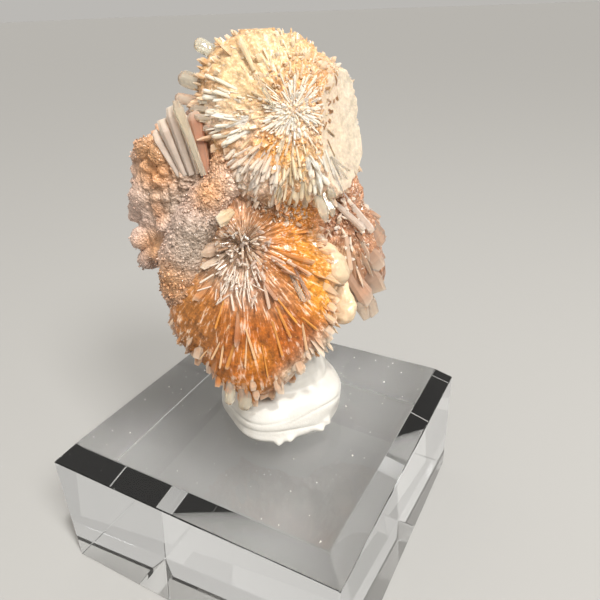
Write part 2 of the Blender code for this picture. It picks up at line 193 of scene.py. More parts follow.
STAINED_BLADES = records(
    Crystal,
    ((-5.2, -6.2, 64.6), (-6.5, -4.6, 73.0), 1.9, 0.4, "red orange"),
    ((-6.4, -5.6, 65.4), (-8.0, -4.2, 73.0), 1.5, 0.6, "lilac"),
    ((-7.4, -5.2, 65.2), (-9.4, -3.8, 73.6), 1.9, 0.6, "lilac"),
    ((-8.4, -4.8, 65.0), (-10.8, -3.3, 72.0), 1.8, 0.7, "lilac"),
    ((-9.2, -4.4, 64.8), (-12.1, -2.8, 70.4), 1.5, 0.7, "lilac"),
    ((10.4, -3.6, 61.0), (15.4, -3.3, 56.0), 1.1, 0.6, "lilac"),
    ((12.0, -2.4, 61.5), (16.8, -1.6, 55.0), 1.2, 0.6, "lilac"),
    ((1.6, -6.2, 77.6), (0.0, -3.9, 81.0), 0.9, 0.7, "cream"),
    ((11.0, -1.6, 58.6), (18.1, -1.0, 48.7), 3.2, 0.35, "mauve"),
    ((11.6, -1.2, 56.6), (18.1, -1.0, 45.0), 3.2, 0.35, "mauve"),
    ((11.6, -2.6, 52.0), (16.6, -2.4, 44.0), 2.8, 0.35, "mauve"),
    ((-2.2, -9.4, 61.4), (-3.8, -11.6, 60.8), 1.9, 0.85, "cream"),
)

# Clear ones with rounded ends
KNOBS = records(
    Crystal,
    ((-1.0, -1.0, 77.8), (-5.9, -1.0, 80.8), 2.0, 0.8, "white"),
    ((-2.0, -2.0, 75.0), (-8.3, -2.2, 76.8), 2.3, 0.8, "white"),
    ((-2.6, -3.0, 73.2), (-8.9, -2.7, 74.5), 1.5, 0.8, "pale rose"),
    ((-2.2, -9.6, 40.5), (-2.8, -10.9, 31.2), 2.2, 0.8, "white"),
    ((-4.0, -9.2, 40.5), (-5.0, -10.7, 32.2), 1.9, 0.8, "white"),
    ((9.6, -5.6, 65.6), (10.6, -9.0, 62.4), 1.3, 0.9, "white"),
)

# The sugary ones on the left and the waxy ones at the lower right
SUGARY_FINGERS = records(
    Crystal,
    ((-8.0, 0.0, 62.5), (-17.5, -0.5, 60.4), 5.0, 0.8, "rose grey"),
    ((-7.0, 0.0, 60.0), (-18.2, -0.5, 54.0), 3.8, 0.8, "rose grey"),
    ((-7.0, 0.0, 59.0), (-17.6, 0.0, 50.4), 4.0, 0.8, "rose grey"),
    ((-7.5, 0.0, 64.0), (-15.4, -1.0, 68.6), 3.6, 0.7, "tan"),
    ((-7.5, -1.0, 64.0), (-13.0, -2.4, 68.6), 4.4, 0.7, "tan"),
)
WAXY_FINGERS = records(
    Crystal,
    ((11.4, -1.6, 48.0), (12.6, -4.6, 41.6), 5.0, 0.7, "waxy"),
    ((9.8, -2.6, 53.5), (12.2, -6.6, 49.4), 4.8, 0.8, "waxy"),
)

# The druse: a granular crust in the angle between the left and the lower spray, as balls
DRUSE_PATH = (
    ((-2.2, -4.3, 68.3), 2.2),
    ((-3.4, -5.5, 64.2), 2.6),
    ((-7.0, -6.0, 59.8), 3.6),
    ((-9.2, -6.2, 55.0), 3.9),
    ((-10.2, -5.8, 50.6), 3.7),
    ((-10.6, -5.2, 47.2), 2.9),
)
# How many balls are strung along it, how far they stray, and their radii as shares of the listed ones
DRUSE_BALLS = 44
DRUSE_STRAY = 0.25
DRUSE_GIRTHS = (0.82, 0.95)
# The grains sprinkled over the lobes on the left, how far they scatter and how large they are
# against the crust's. They keep out of the middle of the left ball and out of the lower one
SUGAR_GRAINS = 3500
SUGAR_DEPTH = 0.1
SUGAR_SHARE = 0.7
SUGAR_OUT_OF_LEFT = 0.75
SUGAR_OUT_OF_LOWER = 0.95

# The flat cleaved faces on the top spray's right side: a point and the direction out
CLEAVAGES = (((14.4, -2.0, 71.0), (0.8, -0.61, 0.15)), ((14.2, 1.0, 71.0), (0.97, 0.24, 0.08)))
# The most that single crystals stand back from a cleaved face
CLEAVAGE_STEP = 0.3
# How strongly a cleaved face takes the colour of bone, and how frosted it is
CLEAVED_PULL = 0.75
CLEAVED_FROST = 0.9
# Relief of the bodies: grooves along the fibres, as waves of the rays' directions, and lumps on them
# and on the sugary one, as waves of the place with lengths between these
GROOVE = 0.15
GROOVE_WAVES = 14
GROOVE_RATES = (18, 60)
LUMP = 0.07
SUGAR_LUMP = 0.4
LUMP_WAVES = 16
LUMP_LENGTHS = (0.7, 3.0)
# A grain has a ring of five points and one above and below, and a prism three rings of six
GRAIN_SIDES = 5
GRAIN_POINTS = GRAIN_SIDES + 2
PRISM_SIDES = 6
PRISM_POINTS = 3 * PRISM_SIDES
# The share of its own colour that a crystal of a fan or scatter keeps against the zones'
GROUND_PULL = 0.6
# How many times rougher a fully frosted crystal is than a clean one
FROSTED_BY = 4.2
CREEDITE_IOR = 1.47

# Colour zones: each colour's places x, y and z, with the radius that it fills there
ZONES = {
    "cream": (
        (-0.9, -6.0, 76.1, 4.2), (3.5, -4.0, 79.7, 3.6), (6.6, -9.0, 66.9, 1.8), (11.8, -5.0, 49.6, 2.4),
        (12.3, -4.0, 43.0, 2.4), (6.0, 6.0, 72.0, 5.0)),
    "tan": (
        (5.2, -7.5, 77.1, 2.4), (9.3, -7.0, 74.7, 3.0), (3.4, -8.0, 74.4, 1.6), (-12.1, -2.0, 67.0, 3.6),
        (-14.6, -2.5, 54.8, 2.0), (-3.2, -5.5, 68.3, 2.2), (-4.8, -9.0, 64.2, 2.2),
        (-11.0, -8.0, 51.5, 2.6)),
    "orange": (
        (-3.4, -3.5, 76.0, 1.4), (11.6, -5.5, 74.8, 1.2), (5.0, -9.0, 59.2, 2.4), (6.1, -10.0, 53.2, 2.0),
        (-12.5, -3.0, 64.5, 1.8), (-13.2, -4.0, 60.2, 1.4), (5.0, 11.0, 58.0, 4.5)),
    "white": ((5.6, -8.5, 72.2, 2.3),),
    "amber": (
        (4.8, -9.0, 68.8, 1.9), (2.4, -8.5, 69.4, 1.8), (7.0, -8.0, 60.1, 1.6), (8.2, -8.0, 55.2, 2.2),
        (9.5, -8.0, 49.1, 2.6), (-0.5, -11.5, 41.0, 1.9)),
    "pale rose": (
        (0.2, -7.5, 64.8, 3.0), (0.6, -7.0, 70.9, 1.8), (-3.8, -5.0, 72.2, 2.5), (10.4, -7.0, 64.3, 2.8),
        (-1.8, -12.0, 51.6, 2.4), (10.6, -7.0, 56.4, 1.8), (-4.0, 10.0, 66.0, 4.0)),
    "bone": (
        (13.3, -3.0, 68.4, 3.2), (12.7, -2.0, 74.5, 3.2), (8.3, -8.0, 40.2, 2.6), (4.4, -10.0, 36.5, 1.8)),
    "brown": (
        (1.8, -8.0, 60.3, 2.2), (-8.1, -10.0, 44.7, 3.6), (1.8, -9.0, 34.1, 2.6), (-9.5, -7.0, 42.0, 2.6)),
    "grey": (
        (-0.7, -9.5, 57.5, 2.4), (-2.3, -11.0, 54.7, 2.4), (-8.0, -3.0, 66.0, 2.4),
        (-12.0, -3.0, 61.3, 2.8), (-6.7, -10.0, 56.6, 3.4)),
    "mauve": ((2.7, -12.0, 49.9, 2.6), (12.7, -3.0, 58.9, 2.6)),
    "deep orange": ((-1.2, -12.0, 42.3, 4.5), (5.1, -10.0, 43.3, 3.0), (-3.0, 10.0, 50.0, 4.0)),
    "rose grey": ((-16.5, -1.0, 58.0, 3.0),),
    "red orange": ((-6.7, -3.0, 69.2, 1.6),),
}
# A zone's weight at its middle, where the ground's is 1
ZONE_PULL = 3.5

# Each colour as sRGB hex, and how frosted the crystals are where it lies
COLOURS = {
    "cream": ("#dfc296", 0.65),
    "waxy": ("#e8cba6", 0.35),
    "tan": ("#cd9358", 0.4),
    # white is the pale needles' own colour, lifted close to white so that it also stands in for their glints:
    # partly painted highlight
    "white": ("#fdf2dc", 0.4),
    "pale rose": ("#efd5bf", 0.15),
    "bone": ("#d6c8b2", 0.75),
    "amber": ("#e99a32", 0.2),
    "orange": ("#c67a30", 0.15),
    "deep orange": ("#a5520f", 0.05),
    "red orange": ("#bd6a36", 0.2),
    "brown": ("#96602e", 0.3),
    "mauve": ("#b27f5e", 0.15),
    "grey": ("#a89886", 0.4),
    "rose grey": ("#c4a898", 0.6),
    "lilac": ("#dac4b5", 0.05),
}

# Putty: a pressed foot and a dome, each by its middle x, y and z, half width and half height, with
# creases where it was folded and pinched edges
PUTTY_FOOT = (2.2, -1.0, 27.0, 9.2, 4.4)
PUTTY_DOME = (2.6, 0.2, 31.0, 7.9, 9.0)
PUTTY_SQUARENESS = 2.7
# How sharp the angle between them is
PUTTY_BLEND = 5.0
# What is kept free below the foot and above the dome
PUTTY_GAP = 0.02
# The fold's level, how soft its edge is and how wide its groove
PUTTY_FOLD = 31.2
FOLD_EDGE = 0.12
FOLD_WIDTH = 0.3
# The roll round the foot: level, height and how far it swells
PUTTY_ROLL = (25.4, 0.8, 0.45)
# Creases: level, swing up and down, clock of the swing and depth as a share of the crease size
CREASE_WIDTH = 0.16
PUTTY_CREASES = (
    (29.2, 1.1, 0.4, 0.4), (27.6, 0.8, 2.2, 0.35), (26.2, 0.7, 4.0, 0.3), (34.5, 1.0, 1.0, 0.15))
# Pinches: x and y they point to, level and how far they are drawn out, then how far they spread
PUTTY_PINCHES = (
    (2.0, -10.4, 24.8, 1.1), (3.6, -10.4, 25.2, 0.7), (8.6, -8.8, 25.2, 0.9), (9.6, -7.6, 25.8, 0.7))
PINCH_TURN = 0.07
PINCH_HEIGHT = 0.6
# How far up from the foot's middle the putty's axis has moved over to the dome's
PUTTY_SHIFT = 6.0

BLOCK_SIDE = 50.0
BLOCK_HEIGHT = 24.0
BLOCK_BEVEL = 2.7

# Dust flecks on the block, about 0.12 mm across: how many are tried, their distance from the top's
# edge, how high their middles lie, and the round that the putty keeps free: x, y and radius
DUST_FLECKS = 260
DUST_MARGIN = 0.5
DUST_LIFT = 0.03
DUST_FREE = (2.4, 0.0, 9.5)

# The stage: the floor in metres, then lamps with their places in the cluster's frame, the key lamp's
# size in metres and power in watts, and the sun's strength and its softness in degrees
FLOOR_REACH = 12.0
FLOOR_GAP = 0.04 * MM
KEY_PLACE = (150.0, -250.0, 330.0)
LIT_PLACE = (2.0, 0.0, 50.0)
KEY_SIZE = 0.1
KEY_POWER = 1.5
SUN_PLACE = (90.0, -120.0, 330.0)
SUN_POWER = 2.1
SUN_SOFTNESS = 5
# The room's light: the way to the window, its strength there, on the far side and at the horizon
WINDOW_AIM = (-0.62, -0.52, 0.58)
WINDOW_LIGHT = 1.05
FAR_LIGHT = 0.62
HORIZON_LIGHT = 0.56

# The camera, from the photograph's view of the block's edges: its place in metres in the row frame,
# its right, down and forward directions, and its lens and sensor width in millimetres
CAMERA_PLACE = (0.04396223, -0.06574653, 0.0841367)
CAMERA_RIGHT = (0.87874967, 0.47608268, -0.03382748)
CAMERA_DOWN = (0.19140586, -0.41644686, -0.88878333)
CAMERA_FORWARD = (-0.4372217, 0.77454328, -0.45707755)
CAMERA_LENS = 34.179
CAMERA_SENSOR = 36.0


def linear(hex_colour):
    """An sRGB hex colour as linear RGB."""
    shares = np.array([int(hex_colour[at:at + 2], 16) for at in (1, 3, 5)]) / 255
    return np.where(shares <= 0.04045, shares / 12.92, ((shares + 0.055) / 1.055) ** 2.4)


def tidy(name):
    """A name as it may stand in code."""
    return name.replace(" ", "_")


LENGTH = {"unit": "LENGTH", "subtype": "DISTANCE", "precision": 5}


class CreediteSizes(PropertyGroup):
    """Sizes a user may change."""
    coarseness: FloatProperty(
        name="Coarseness", description="Scales the distance between crystals and their widths", default=1.0,
        min=0.7, max=2.0)
    grain: FloatProperty(
        name="Druse grain", description="Typical size of a grain of the crust", default=0.36 * MM, **LENGTH)
    grains: IntProperty(name="Grains", description="How many grains the crust has", default=9000)
    crease: FloatProperty(
        name="Putty crease", description="Depth of the creases in the putty", default=0.8 * MM, **LENGTH)
    edge: FloatProperty(
        name="Block edge", description="Width of the softening on the block's polished edges",
        default=0.14 * MM, **LENGTH)
    light: FloatProperty(name="Light", description="Scales the studio light", default=1.0)


def colour_property(name, hex_colour):
    return FloatVectorProperty(
        name=name.capitalize(), description=f"The {name} of the crystals or their setting", subtype="COLOR",
        size=3, min=0, max=1, default=tuple(linear(hex_colour)))


class CreediteColours(PropertyGroup):
    """Colours of the cluster's zones, the putty and the floor."""
    __annotations__ = {
        **{tidy(name): colour_property(name, value[0]) for name, value in COLOURS.items()},
        "putty": colour_property("putty", "#d5d2cb"),
        "floor": colour_property("floor", "#a09e9a"),
    }


def sizes():
    """The sizes set in the panel."""
    return bpy.context.scene.creedite_sizes


def colour(name):
    """A colour set in the panel, as linear RGB."""
    return np.array(getattr(bpy.context.scene.creedite_colours, tidy(name)))


# Surfaces are kept as arrays until they become a mesh
Surface = namedtuple("Surface", "points faces uvs along chance")


def joined(surfaces):
    """One surface of many, with each one's corner numbers moved on by the points before it."""
    surfaces = list(surfaces)
    counts = np.cumsum([0] + [len(part.points) for part in surfaces])
    faces = []
    uvs = []
    for part, start in zip(surfaces, counts):
        faces += [group + start for group in part.faces]
        uvs += part.uvs
    return Surface(
        np.concatenate([part.points for part in surfaces]), faces, uvs,
        np.concatenate([part.along for part in surfaces]), np.concatenate([part.chance for part in surfaces]))


def unit(vectors):
    """Vectors at length 1."""
    return vectors / np.linalg.norm(vectors, axis=-1, keepdims=True)


def clocks(count):
    """Evenly spaced angles all round."""
    return 2 * np.pi * np.arange(count) / count


def any_way(count, dice):
    """Random unit directions."""
    return unit(dice.normal(size=(count, 3)))


def across(axes, roll, helper=None):
    """Two unit directions square to each axis and to each other, turned about it by roll.

    Unturned, the first is also square to helper.
    """
    if helper is None:
        helper = np.where(np.abs(axes[:, 2:]) < 0.9, [[0.0, 0.0, 1.0]], [[1.0, 0.0, 0.0]])
    side = unit(np.cross(axes, helper))
    other = np.cross(axes, side)
    turn = roll[:, None]
    return np.cos(turn) * side + np.sin(turn) * other, np.cos(turn) * other - np.sin(turn) * side


def prisms(roots, tips, widths, flatness, dice, root_share=0.55, facing=None, sides=PRISM_SIDES):
    """Closed prisms with chisel ends, root_share times as thick at the root.

    A corner at clock c on a ring at distance d from the root lies at root + d * axis + width / 2 *
    (side * cos(c) * wide + cross * sin(c) * flat), and the end ring is pinched to a ridge and leans
    along the side. The broad faces look every way, or towards facing where it is given.
    """
    count = len(roots)
    span = tips - roots
    length = np.linalg.norm(span, axis=1)
    axis = span / length[:, None]
    roll = dice.uniform(0, 2 * np.pi, count) if facing is None else dice.uniform(-0.3, 0.3, count)
    side, cross = across(axis, roll, facing)
    clock = 2 * np.pi * (np.arange(sides) + dice.uniform(-0.22, 0.22, (count, sides))) / sides
    bevel = np.minimum(widths * dice.uniform(0.45, 0.95, count), 0.4 * length)
    lean = dice.uniform(-0.35, 0.35, count) * widths
    rings = []
    for distance, wide, flat, leaning in (
            (np.zeros(count), root_share, root_share, 0.0),
            (length - bevel, 1.0, 1.0, 0.3),
            (length, dice.uniform(0.35, 0.8, count)[:, None], dice.uniform(0.06, 0.3, count)[:, None], 1.0)):
        wide, flat = np.broadcast_to(wide, (count, 1)), np.broadcast_to(flat, (count, 1))
        out = 0.5 * widths[:, None, None] * (
            side[:, None] * (np.cos(clock) * wide)[..., None]
            + cross[:, None] * (np.sin(clock) * flat)[..., None] * flatness[:, None, None])
        rise = distance[:, None] + np.cos(clock) * (lean * leaning)[:, None] * 0.5
        rings.append(roots[:, None] + rise[..., None] * axis[:, None] + out)
    points = np.stack(rings, axis=1)
    ring = np.arange(sides)
    after = (ring + 1) % sides
    base = np.arange(count)[:, None] * 3 * sides
    first = base[..., None] + (np.arange(2) * sides)[None, :, None]
    quads = np.stack([first + ring, first + after, first + sides + after, first + sides + ring], axis=-1)
    ends = base + 2 * sides + ring
    root_faces = base + ring[::-1]
    around = np.pi * widths[:, None, None] / sides
    rise = np.stack([np.zeros(count), length - bevel, length], axis=1)
    low = np.broadcast_to(rise[:, :2, None], (count, 2, sides))
    high = np.broadcast_to(rise[:, 1:, None], (count, 2, sides))
    left = np.broadcast_to(around * ring, (count, 2, sides))
    right = np.broadcast_to(around * (ring + 1), (count, 2, sides))
    side_uv = np.stack([left, low, right, low, right, high, left, high], axis=-1).reshape(-1, 2)
    cap_uv = np.stack([np.cos(clock), np.sin(clock)], axis=-1) * 0.5 * widths[:, None, None]
    shift = dice.uniform(0, 50, (count, 1))
    side_uv[:, 0] += np.repeat(shift[:, 0], 8 * sides)
    along = np.broadcast_to(np.array([0.0, 0.85, 1.0])[None, :, None], (count, 3, sides))
    return Surface(
        points.reshape(-1, 3), [quads.reshape(-1, 4), ends, root_faces],
        [side_uv, cap_uv.reshape(-1, 2), cap_uv[:, ::-1].reshape(-1, 2)],
        along.reshape(-1).copy(), np.repeat(dice.uniform(0, 1, count), 3 * sides))


def grid_surface(points, along, chance):
    """A closed surface from a grid of points whose rows are rings from one pole to the other."""
    rows, columns = points.shape[:2]
    index = np.arange(rows * columns).reshape(rows, columns)
    after = np.roll(index, -1, axis=1)
    quads = np.stack([index[:-1], after[:-1], after[1:], index[1:]], axis=-1).reshape(-1, 4)
    uv = np.stack(np.meshgrid(np.arange(columns + 1) / columns, np.arange(rows) / rows), axis=-1)
    quad_uv = np.stack([uv[:-1, :-1], uv[:-1, 1:], uv[1:, 1:], uv[1:, :-1]], axis=2).reshape(-1, 2)
    caps = np.stack([index[0][::-1], index[-1]])
    return Surface(
        points.reshape(-1, 3), [quads, caps], [quad_uv, np.zeros((2 * columns, 2))],
        np.full(rows * columns, along), np.full(rows * columns, chance))


def fingers(crystals, dice, rows=22, columns=22, lumps=0.06):
    """Thick round-ended crystals, each lumpy all round.

    At the share h of the way from root to tip and clock c the surface lies at root + h * span + radius *
    (side * cos(c) + cross * flatness * sin(c)). The radius is half the width, times a slow taper, a
    few waves in h and c, and (1 - ((h - shoulder) / (1 - shoulder)) ** 2) ** 0.5 past the shoulder.
    """
    parts = []
    for crystal in crystals:
        root = np.array(crystal.root)
        span = np.array(crystal.tip) - root
        length = np.linalg.norm(span)
        side, cross = across(unit(span)[None], dice.uniform(0, 2 * np.pi, 1))
        shoulder = 1 - 0.5 * crystal.width / length
        height = np.concatenate([
            np.linspace(0, shoulder, rows // 2, endpoint=False),
            shoulder + (1 - shoulder) * np.sin(np.linspace(0, 0.49 * np.pi, rows // 2))])
        h, c = np.meshgrid(height, clocks(columns), indexing="ij")
        round_end = np.sqrt(1 - (np.maximum(0, h - shoulder) / (1 - shoulder)) ** 2)
        start = dice.uniform(0, 2 * np.pi, 3)
        swell = np.sin(2 * c + 9 * h + start[0]) + np.sin(3 * c - 14 * h + start[1])
        wave = 1 + lumps * (swell + 0.6 * np.sin(5 * c + 23 * h + start[2]))
        radius = 0.5 * crystal.width * round_end * wave * (0.75 + 0.25 * h)
        out = radius[..., None] * (
            np.cos(c)[..., None] * side[0] + crystal.flatness * np.sin(c)[..., None] * cross[0])
        parts.append(grid_surface(root + h[..., None] * span + out, 0.7, dice.uniform()))
    return joined(parts)


def grains(places, widths, dice):
    """Angular grains: a tilted five-sided ring with a point above and below, stretched at random."""
    count = len(places)
    sides = GRAIN_SIDES
    axis = any_way(count, dice)
    side, cross = across(axis, dice.uniform(0, 2 * np.pi, count))
    clock = 2 * np.pi * (np.arange(sides) + dice.uniform(-0.25, 0.25, (count, sides))) / sides
    radius = 0.5 * widths[:, None] * dice.uniform(0.75, 1.15, (count, sides))
    ring = places[:, None] + (
        side[:, None] * (radius * np.cos(clock))[..., None]
        + cross[:, None] * (radius * np.sin(clock))[..., None])
    height = 0.5 * widths[:, None] * dice.uniform(0.6, 1.2, (count, 2))
    top = places + axis * height[:, :1]
    bottom = places - axis * height[:, 1:]
    points = np.concatenate([ring, top[:, None], bottom[:, None]], axis=1)
    start = (np.arange(count) * GRAIN_POINTS)[:, None]
    first = start + np.arange(sides)
    after = start + (np.arange(sides) + 1) % sides
    above = np.broadcast_to(start + sides, (count, sides))
    upper = np.stack([first, after, above], axis=-1)
    lower = np.stack([after, first, above + 1], axis=-1)
    faces = np.concatenate([upper, lower], axis=1).reshape(-1, 3)
    return Surface(
        points.reshape(-1, 3), [faces], [np.zeros((faces.size, 2))],
        np.full(count * GRAIN_POINTS, 0.5), np.repeat(dice.uniform(0, 1, count), GRAIN_POINTS))


def spray_axes(spray):
    """A spray's right, its up and the direction it faces."""
    turn = math.radians(spray.turn)
    lean = math.radians(spray.lean)
    facing = np.array([math.sin(turn) * math.cos(lean), -math.cos(turn) * math.cos(lean), math.sin(lean)])
    up = unit(np.array([0.0, 0.0, 1.0]) - facing * facing[2])
    return np.cross(up, facing), up, facing


def lobe_radius(spray, aims):
    """The ball's radius along each aim: 1 / ((forward / depth) ** 2 + (level / reach) ** 2) ** 0.5.

    forward and level are the aim's parts along the way the spray faces and across it, and reach is
    blended by a cosine between the twelve listed ones.
    """
    right, up, facing = spray_axes(spray)
    rightward, rise, forward = aims @ right, aims @ up, aims @ facing
    step = np.degrees(np.arctan2(rise, rightward)) % 360 / 30
    before = np.floor(step).astype(int) % 12
    share = (1 - np.cos(np.pi * (step - np.floor(step)))) / 2
    listed = np.array(spray.reach)
    reach = listed[before] * (1 - share) + listed[(before + 1) % 12] * share
    depth = np.where(forward > 0, spray.front, spray.back)
    return 1 / np.hypot(forward / depth, np.hypot(rightward, rise) / reach)


def depth_share(spray, points):
    """How far out each point lies in a spray's ball, 1 on its surface."""
    away = points - np.array(spray.hub)
    distance = np.linalg.norm(away, axis=1)
    return distance / lobe_radius(spray, away / np.maximum(distance, 1e-6)[:, None])


def ball_points(spray, distance, clock, stand):
    """Points on a ball at a distance from the hub's axis and a clock angle, standing off it by stand.

    Their depth is front * (1 - (distance / reach) ** 2) ** 0.5, with distance kept inside the reach.
    """
    right, up, facing = spray_axes(spray)
    level = np.cos(clock)[:, None] * right + np.sin(clock)[:, None] * up
    reach = lobe_radius(spray, level)
    distance = np.minimum(distance, 0.985 * reach)
    depth = spray.front * np.sqrt(1 - (distance / reach) ** 2)
    return np.array(spray.hub) + distance[:, None] * level + (depth + stand)[:, None] * facing


def ball_spots(spray, dice):
    """Many random points on a ball, and their directions from its hub."""
    aims = any_way(TRIED_TIPS, dice)
    return np.array(spray.hub) + aims * lobe_radius(spray, aims)[:, None], aims


def spray_tips(name, spacing, dice):
    """Tips spread over the ball: of many random ones, one is kept in each cell of a cubic grid.

    Those that another spray hides are left out.
    """
    spray = SPRAYS[name]
    tips, _ = ball_spots(spray, dice)
    cells = np.floor(tips / spacing + dice.uniform(0, 1, 3)).astype(int)
    first = np.unique(cells, axis=0, return_index=True)[1]
    tips = tips[np.sort(first)]
    forward = (tips - np.array(spray.hub)) @ spray_axes(spray)[2] / spray.front
    ring = (forward > RING[0]) & (forward < RING[1]) & (dice.uniform(size=len(tips)) < spray.open)
    return tips[~buried(name, tips) & ~ring]


def buried(name, points):
    """Whether each point lies well inside another spray than its own."""
    return np.any([depth_share(SPRAYS[key], points) < BURIED_SHARE for key in SPRAYS if key != name], axis=0)


def cleaved(points, own):
    """Points beyond a cleaved plane are moved back onto it, to a small step of each crystal's own."""
    cut = np.zeros(len(points), bool)
    for place, normal in CLEAVAGES:
        normal = unit(np.array(normal))
        beyond = (points - np.array(place)) @ normal + CLEAVAGE_STEP * own
        points = points - np.maximum(0, beyond)[:, None] * normal
        cut |= beyond > -0.01
    return points, cut


def heart_of(spray):
    """Where a spray's crystals fan out from."""
    return np.array(spray.hub) + spray_axes(spray)[2] * (spray.front - spray.heart)


def spray_surface(name):
    """A spray's crystals.

    Each lies on the ray from the heart to its tip, runs inwards along it for up to the spray's length,
    and widens on the way out. On the left they are round-ended lobes.
    """
    spray = SPRAYS[name]
    dice = np.random.default_rng([SEED, len(name), ord(name[0])])
    coarseness = sizes().coarseness
    tips = spray_tips(name, spray.spacing * coarseness, dice)
    heart = heart_of(spray)
    if name == "top":
        tips = tips[~cleaved(tips, np.full(len(tips), 0.5))[1]]
    span = (tips - heart) * dice.uniform(*spray.tips, len(tips))[:, None]
    distance = np.linalg.norm(span, axis=1)
    span += dice.normal(size=span.shape) * spray.stray * distance[:, None]
    ends = heart + span
    kept = np.minimum(0.88 * distance, spray.length * dice.uniform(0.8, 1.0, len(tips)))
    roots = ends - unit(span) * kept[:, None]
    root_share = (1 - kept / np.linalg.norm(span, axis=1))[:, None]
    widths = coarseness * dice.uniform(*spray.width, len(tips))
    widths *= 1 + STOUT_BY * (dice.uniform(size=len(tips)) > STOUT_ABOVE)
    flatness = spray.flatness * dice.uniform(0.8, 1.3, len(tips))
    if name == "left":
        lobes = [Crystal(*item, spray.ground) for item in zip(roots, ends, widths, flatness)]
        return fingers(lobes, dice, 16, 20, 0.05)
    return prisms(roots, ends, widths, flatness, dice, root_share)


def fan_surface(fan, dice):
    """Crystals that lie on a ball and point away from its hub's axis, their tips a little off it."""
    spray = SPRAYS[fan.spray]
    count = fan.count
    clock = np.radians(dice.uniform(*fan.clock, count))
    start = dice.uniform(*fan.start, count)
    finish = start + dice.uniform(*fan.length, count)
    roots = ball_points(spray, start, clock, dice.uniform(*FAN_ROOTS, count))
    clock = clock + dice.normal(size=count) * FAN_STRAY
    tips = ball_points(spray, finish, clock, dice.uniform(*fan.lift, count))
    seen = ~buried(fan.spray, tips) & (np.linalg.norm(tips - roots, axis=1) > FAN_SHORTEST)
    kept = int(seen.sum())
    return prisms(
        roots[seen], tips[seen], dice.uniform(*fan.width, kept), dice.uniform(0.5, 0.9, kept), dice, 0.8)


def scatter_surface(scatter, dice):
    """Small crystals on a ball round a place, half sunk and pointing more out than along it."""
    spray = SPRAYS[scatter.spray]
    spots, aims = ball_spots(spray, dice)
    near = np.linalg.norm(spots - np.array(scatter.place), axis=1) < scatter.radius
    near &= ~buried(scatter.spray, spots)
    spots, aims = spots[near][:scatter.count], aims[near][:scatter.count]
    count = len(spots)
    lie = unit(aims + SCATTER_STRAY * dice.normal(size=(count, 3)))
    half = 0.5 * dice.uniform(*scatter.length, count)[:, None]
    sunk = spots - SCATTER_SUNK * aims
    return prisms(
        sunk - half * lie, sunk + half * lie, dice.uniform(*scatter.width, count),
        dice.uniform(0.5, 0.95, count), dice, 0.9)


def waves(points, rates, dice):
    """A sum of sines of each point, one along each rate, over the root of how many there are."""
    return np.sin(points @ rates.T + dice.uniform(0, 2 * np.pi, len(rates))).sum(axis=1) / len(rates) ** 0.5


def core_surface(name, rows=130, columns=200):
    """The massive inside of a spray: its ball at a share of its size, on rings from pole to pole.

    It is grooved along the rays from the heart by a sum of sines of each ray's direction, lumpy by a
    sum of sines of the place, and hollowed in front by the dish's share.
    """
    spray = SPRAYS[name]
    dice = np.random.default_rng([SEED, 66, ord(name[0])])
    polar, clock = np.meshgrid(
        np.linspace(0.02, np.pi - 0.02, rows), clocks(columns), indexing="ij")
    right, up, facing = spray_axes(spray)
    aims = (
        np.cos(polar)[..., None] * -facing + np.sin(polar)[..., None] * (
            np.cos(clock)[..., None] * right + np.sin(clock)[..., None] * up)).reshape(-1, 3)
    hollow = 1 - spray.dish * np.maximum(0, aims @ facing) ** 2
    points = np.array(spray.hub) + aims * (spray.core * hollow * lobe_radius(spray, aims))[:, None]
    rays = unit(points - heart_of(spray))
    rates = any_way(GROOVE_WAVES, dice) * dice.uniform(*GROOVE_RATES, (GROOVE_WAVES, 1))
    groove = waves(rays, rates, dice)
    rates = any_way(LUMP_WAVES, dice) * 2 * np.pi / dice.uniform(*LUMP_LENGTHS, (LUMP_WAVES, 1))
    lump = waves(points, rates, dice)
    points += aims * (GROOVE * groove + (SUGAR_LUMP if name == "left" else LUMP) * lump)[:, None]
    return grid_surface(points.reshape(rows, columns, 3), 0.3, 0.5)


def prism_finishes(surface, share):
    """For a surface of prisms, 1 for the faces of the glassy ones and 0 for the others'."""
    glassy = (surface.chance[::PRISM_POINTS] > 1 - share).astype(np.int32)
    return np.concatenate([np.repeat(glassy, 2 * PRISM_SIDES), glassy, glassy])


def zone_look(points, ground):
    """Each point's colour and frost.

    They are the ground's and the zones', the ground with weight 1 and each zone with
    ZONE_PULL * exp(-(distance / radius) ** 2).
    """
    names = list(COLOURS)
    palette = np.array([colour(name) for name in names])
    frosts = np.array([COLOURS[name][1] for name in names])
    zones = np.array([zone for group in ZONES.values() for zone in group])
    chosen = np.repeat([names.index(name) for name in ZONES], [len(group) for group in ZONES.values()])
    away = np.linalg.norm(points[:, None] - zones[None, :, :3], axis=2) / zones[:, 3]
    pull = ZONE_PULL * np.exp(-away ** 2)
    total = 1 + pull.sum(axis=1)
    base = names.index(ground)
    tint = (palette[base] + pull @ palette[chosen]) / total[:, None]
    frost = (frosts[base] + pull @ frosts[chosen]) / total
    return tint, frost


def placed(points):
    """Points of the cluster's frame in the row frame, in metres."""
    turn = math.radians(CLUSTER_TURN)
    spin = np.array([[math.cos(turn), -math.sin(turn), 0], [math.sin(turn), math.cos(turn), 0], [0, 0, 1]])
    return points @ spin.T * MM


def flat(values):
    """An array as one row of 32-bit numbers, which is what a mesh takes."""
    return np.asarray(values, np.float32).ravel()


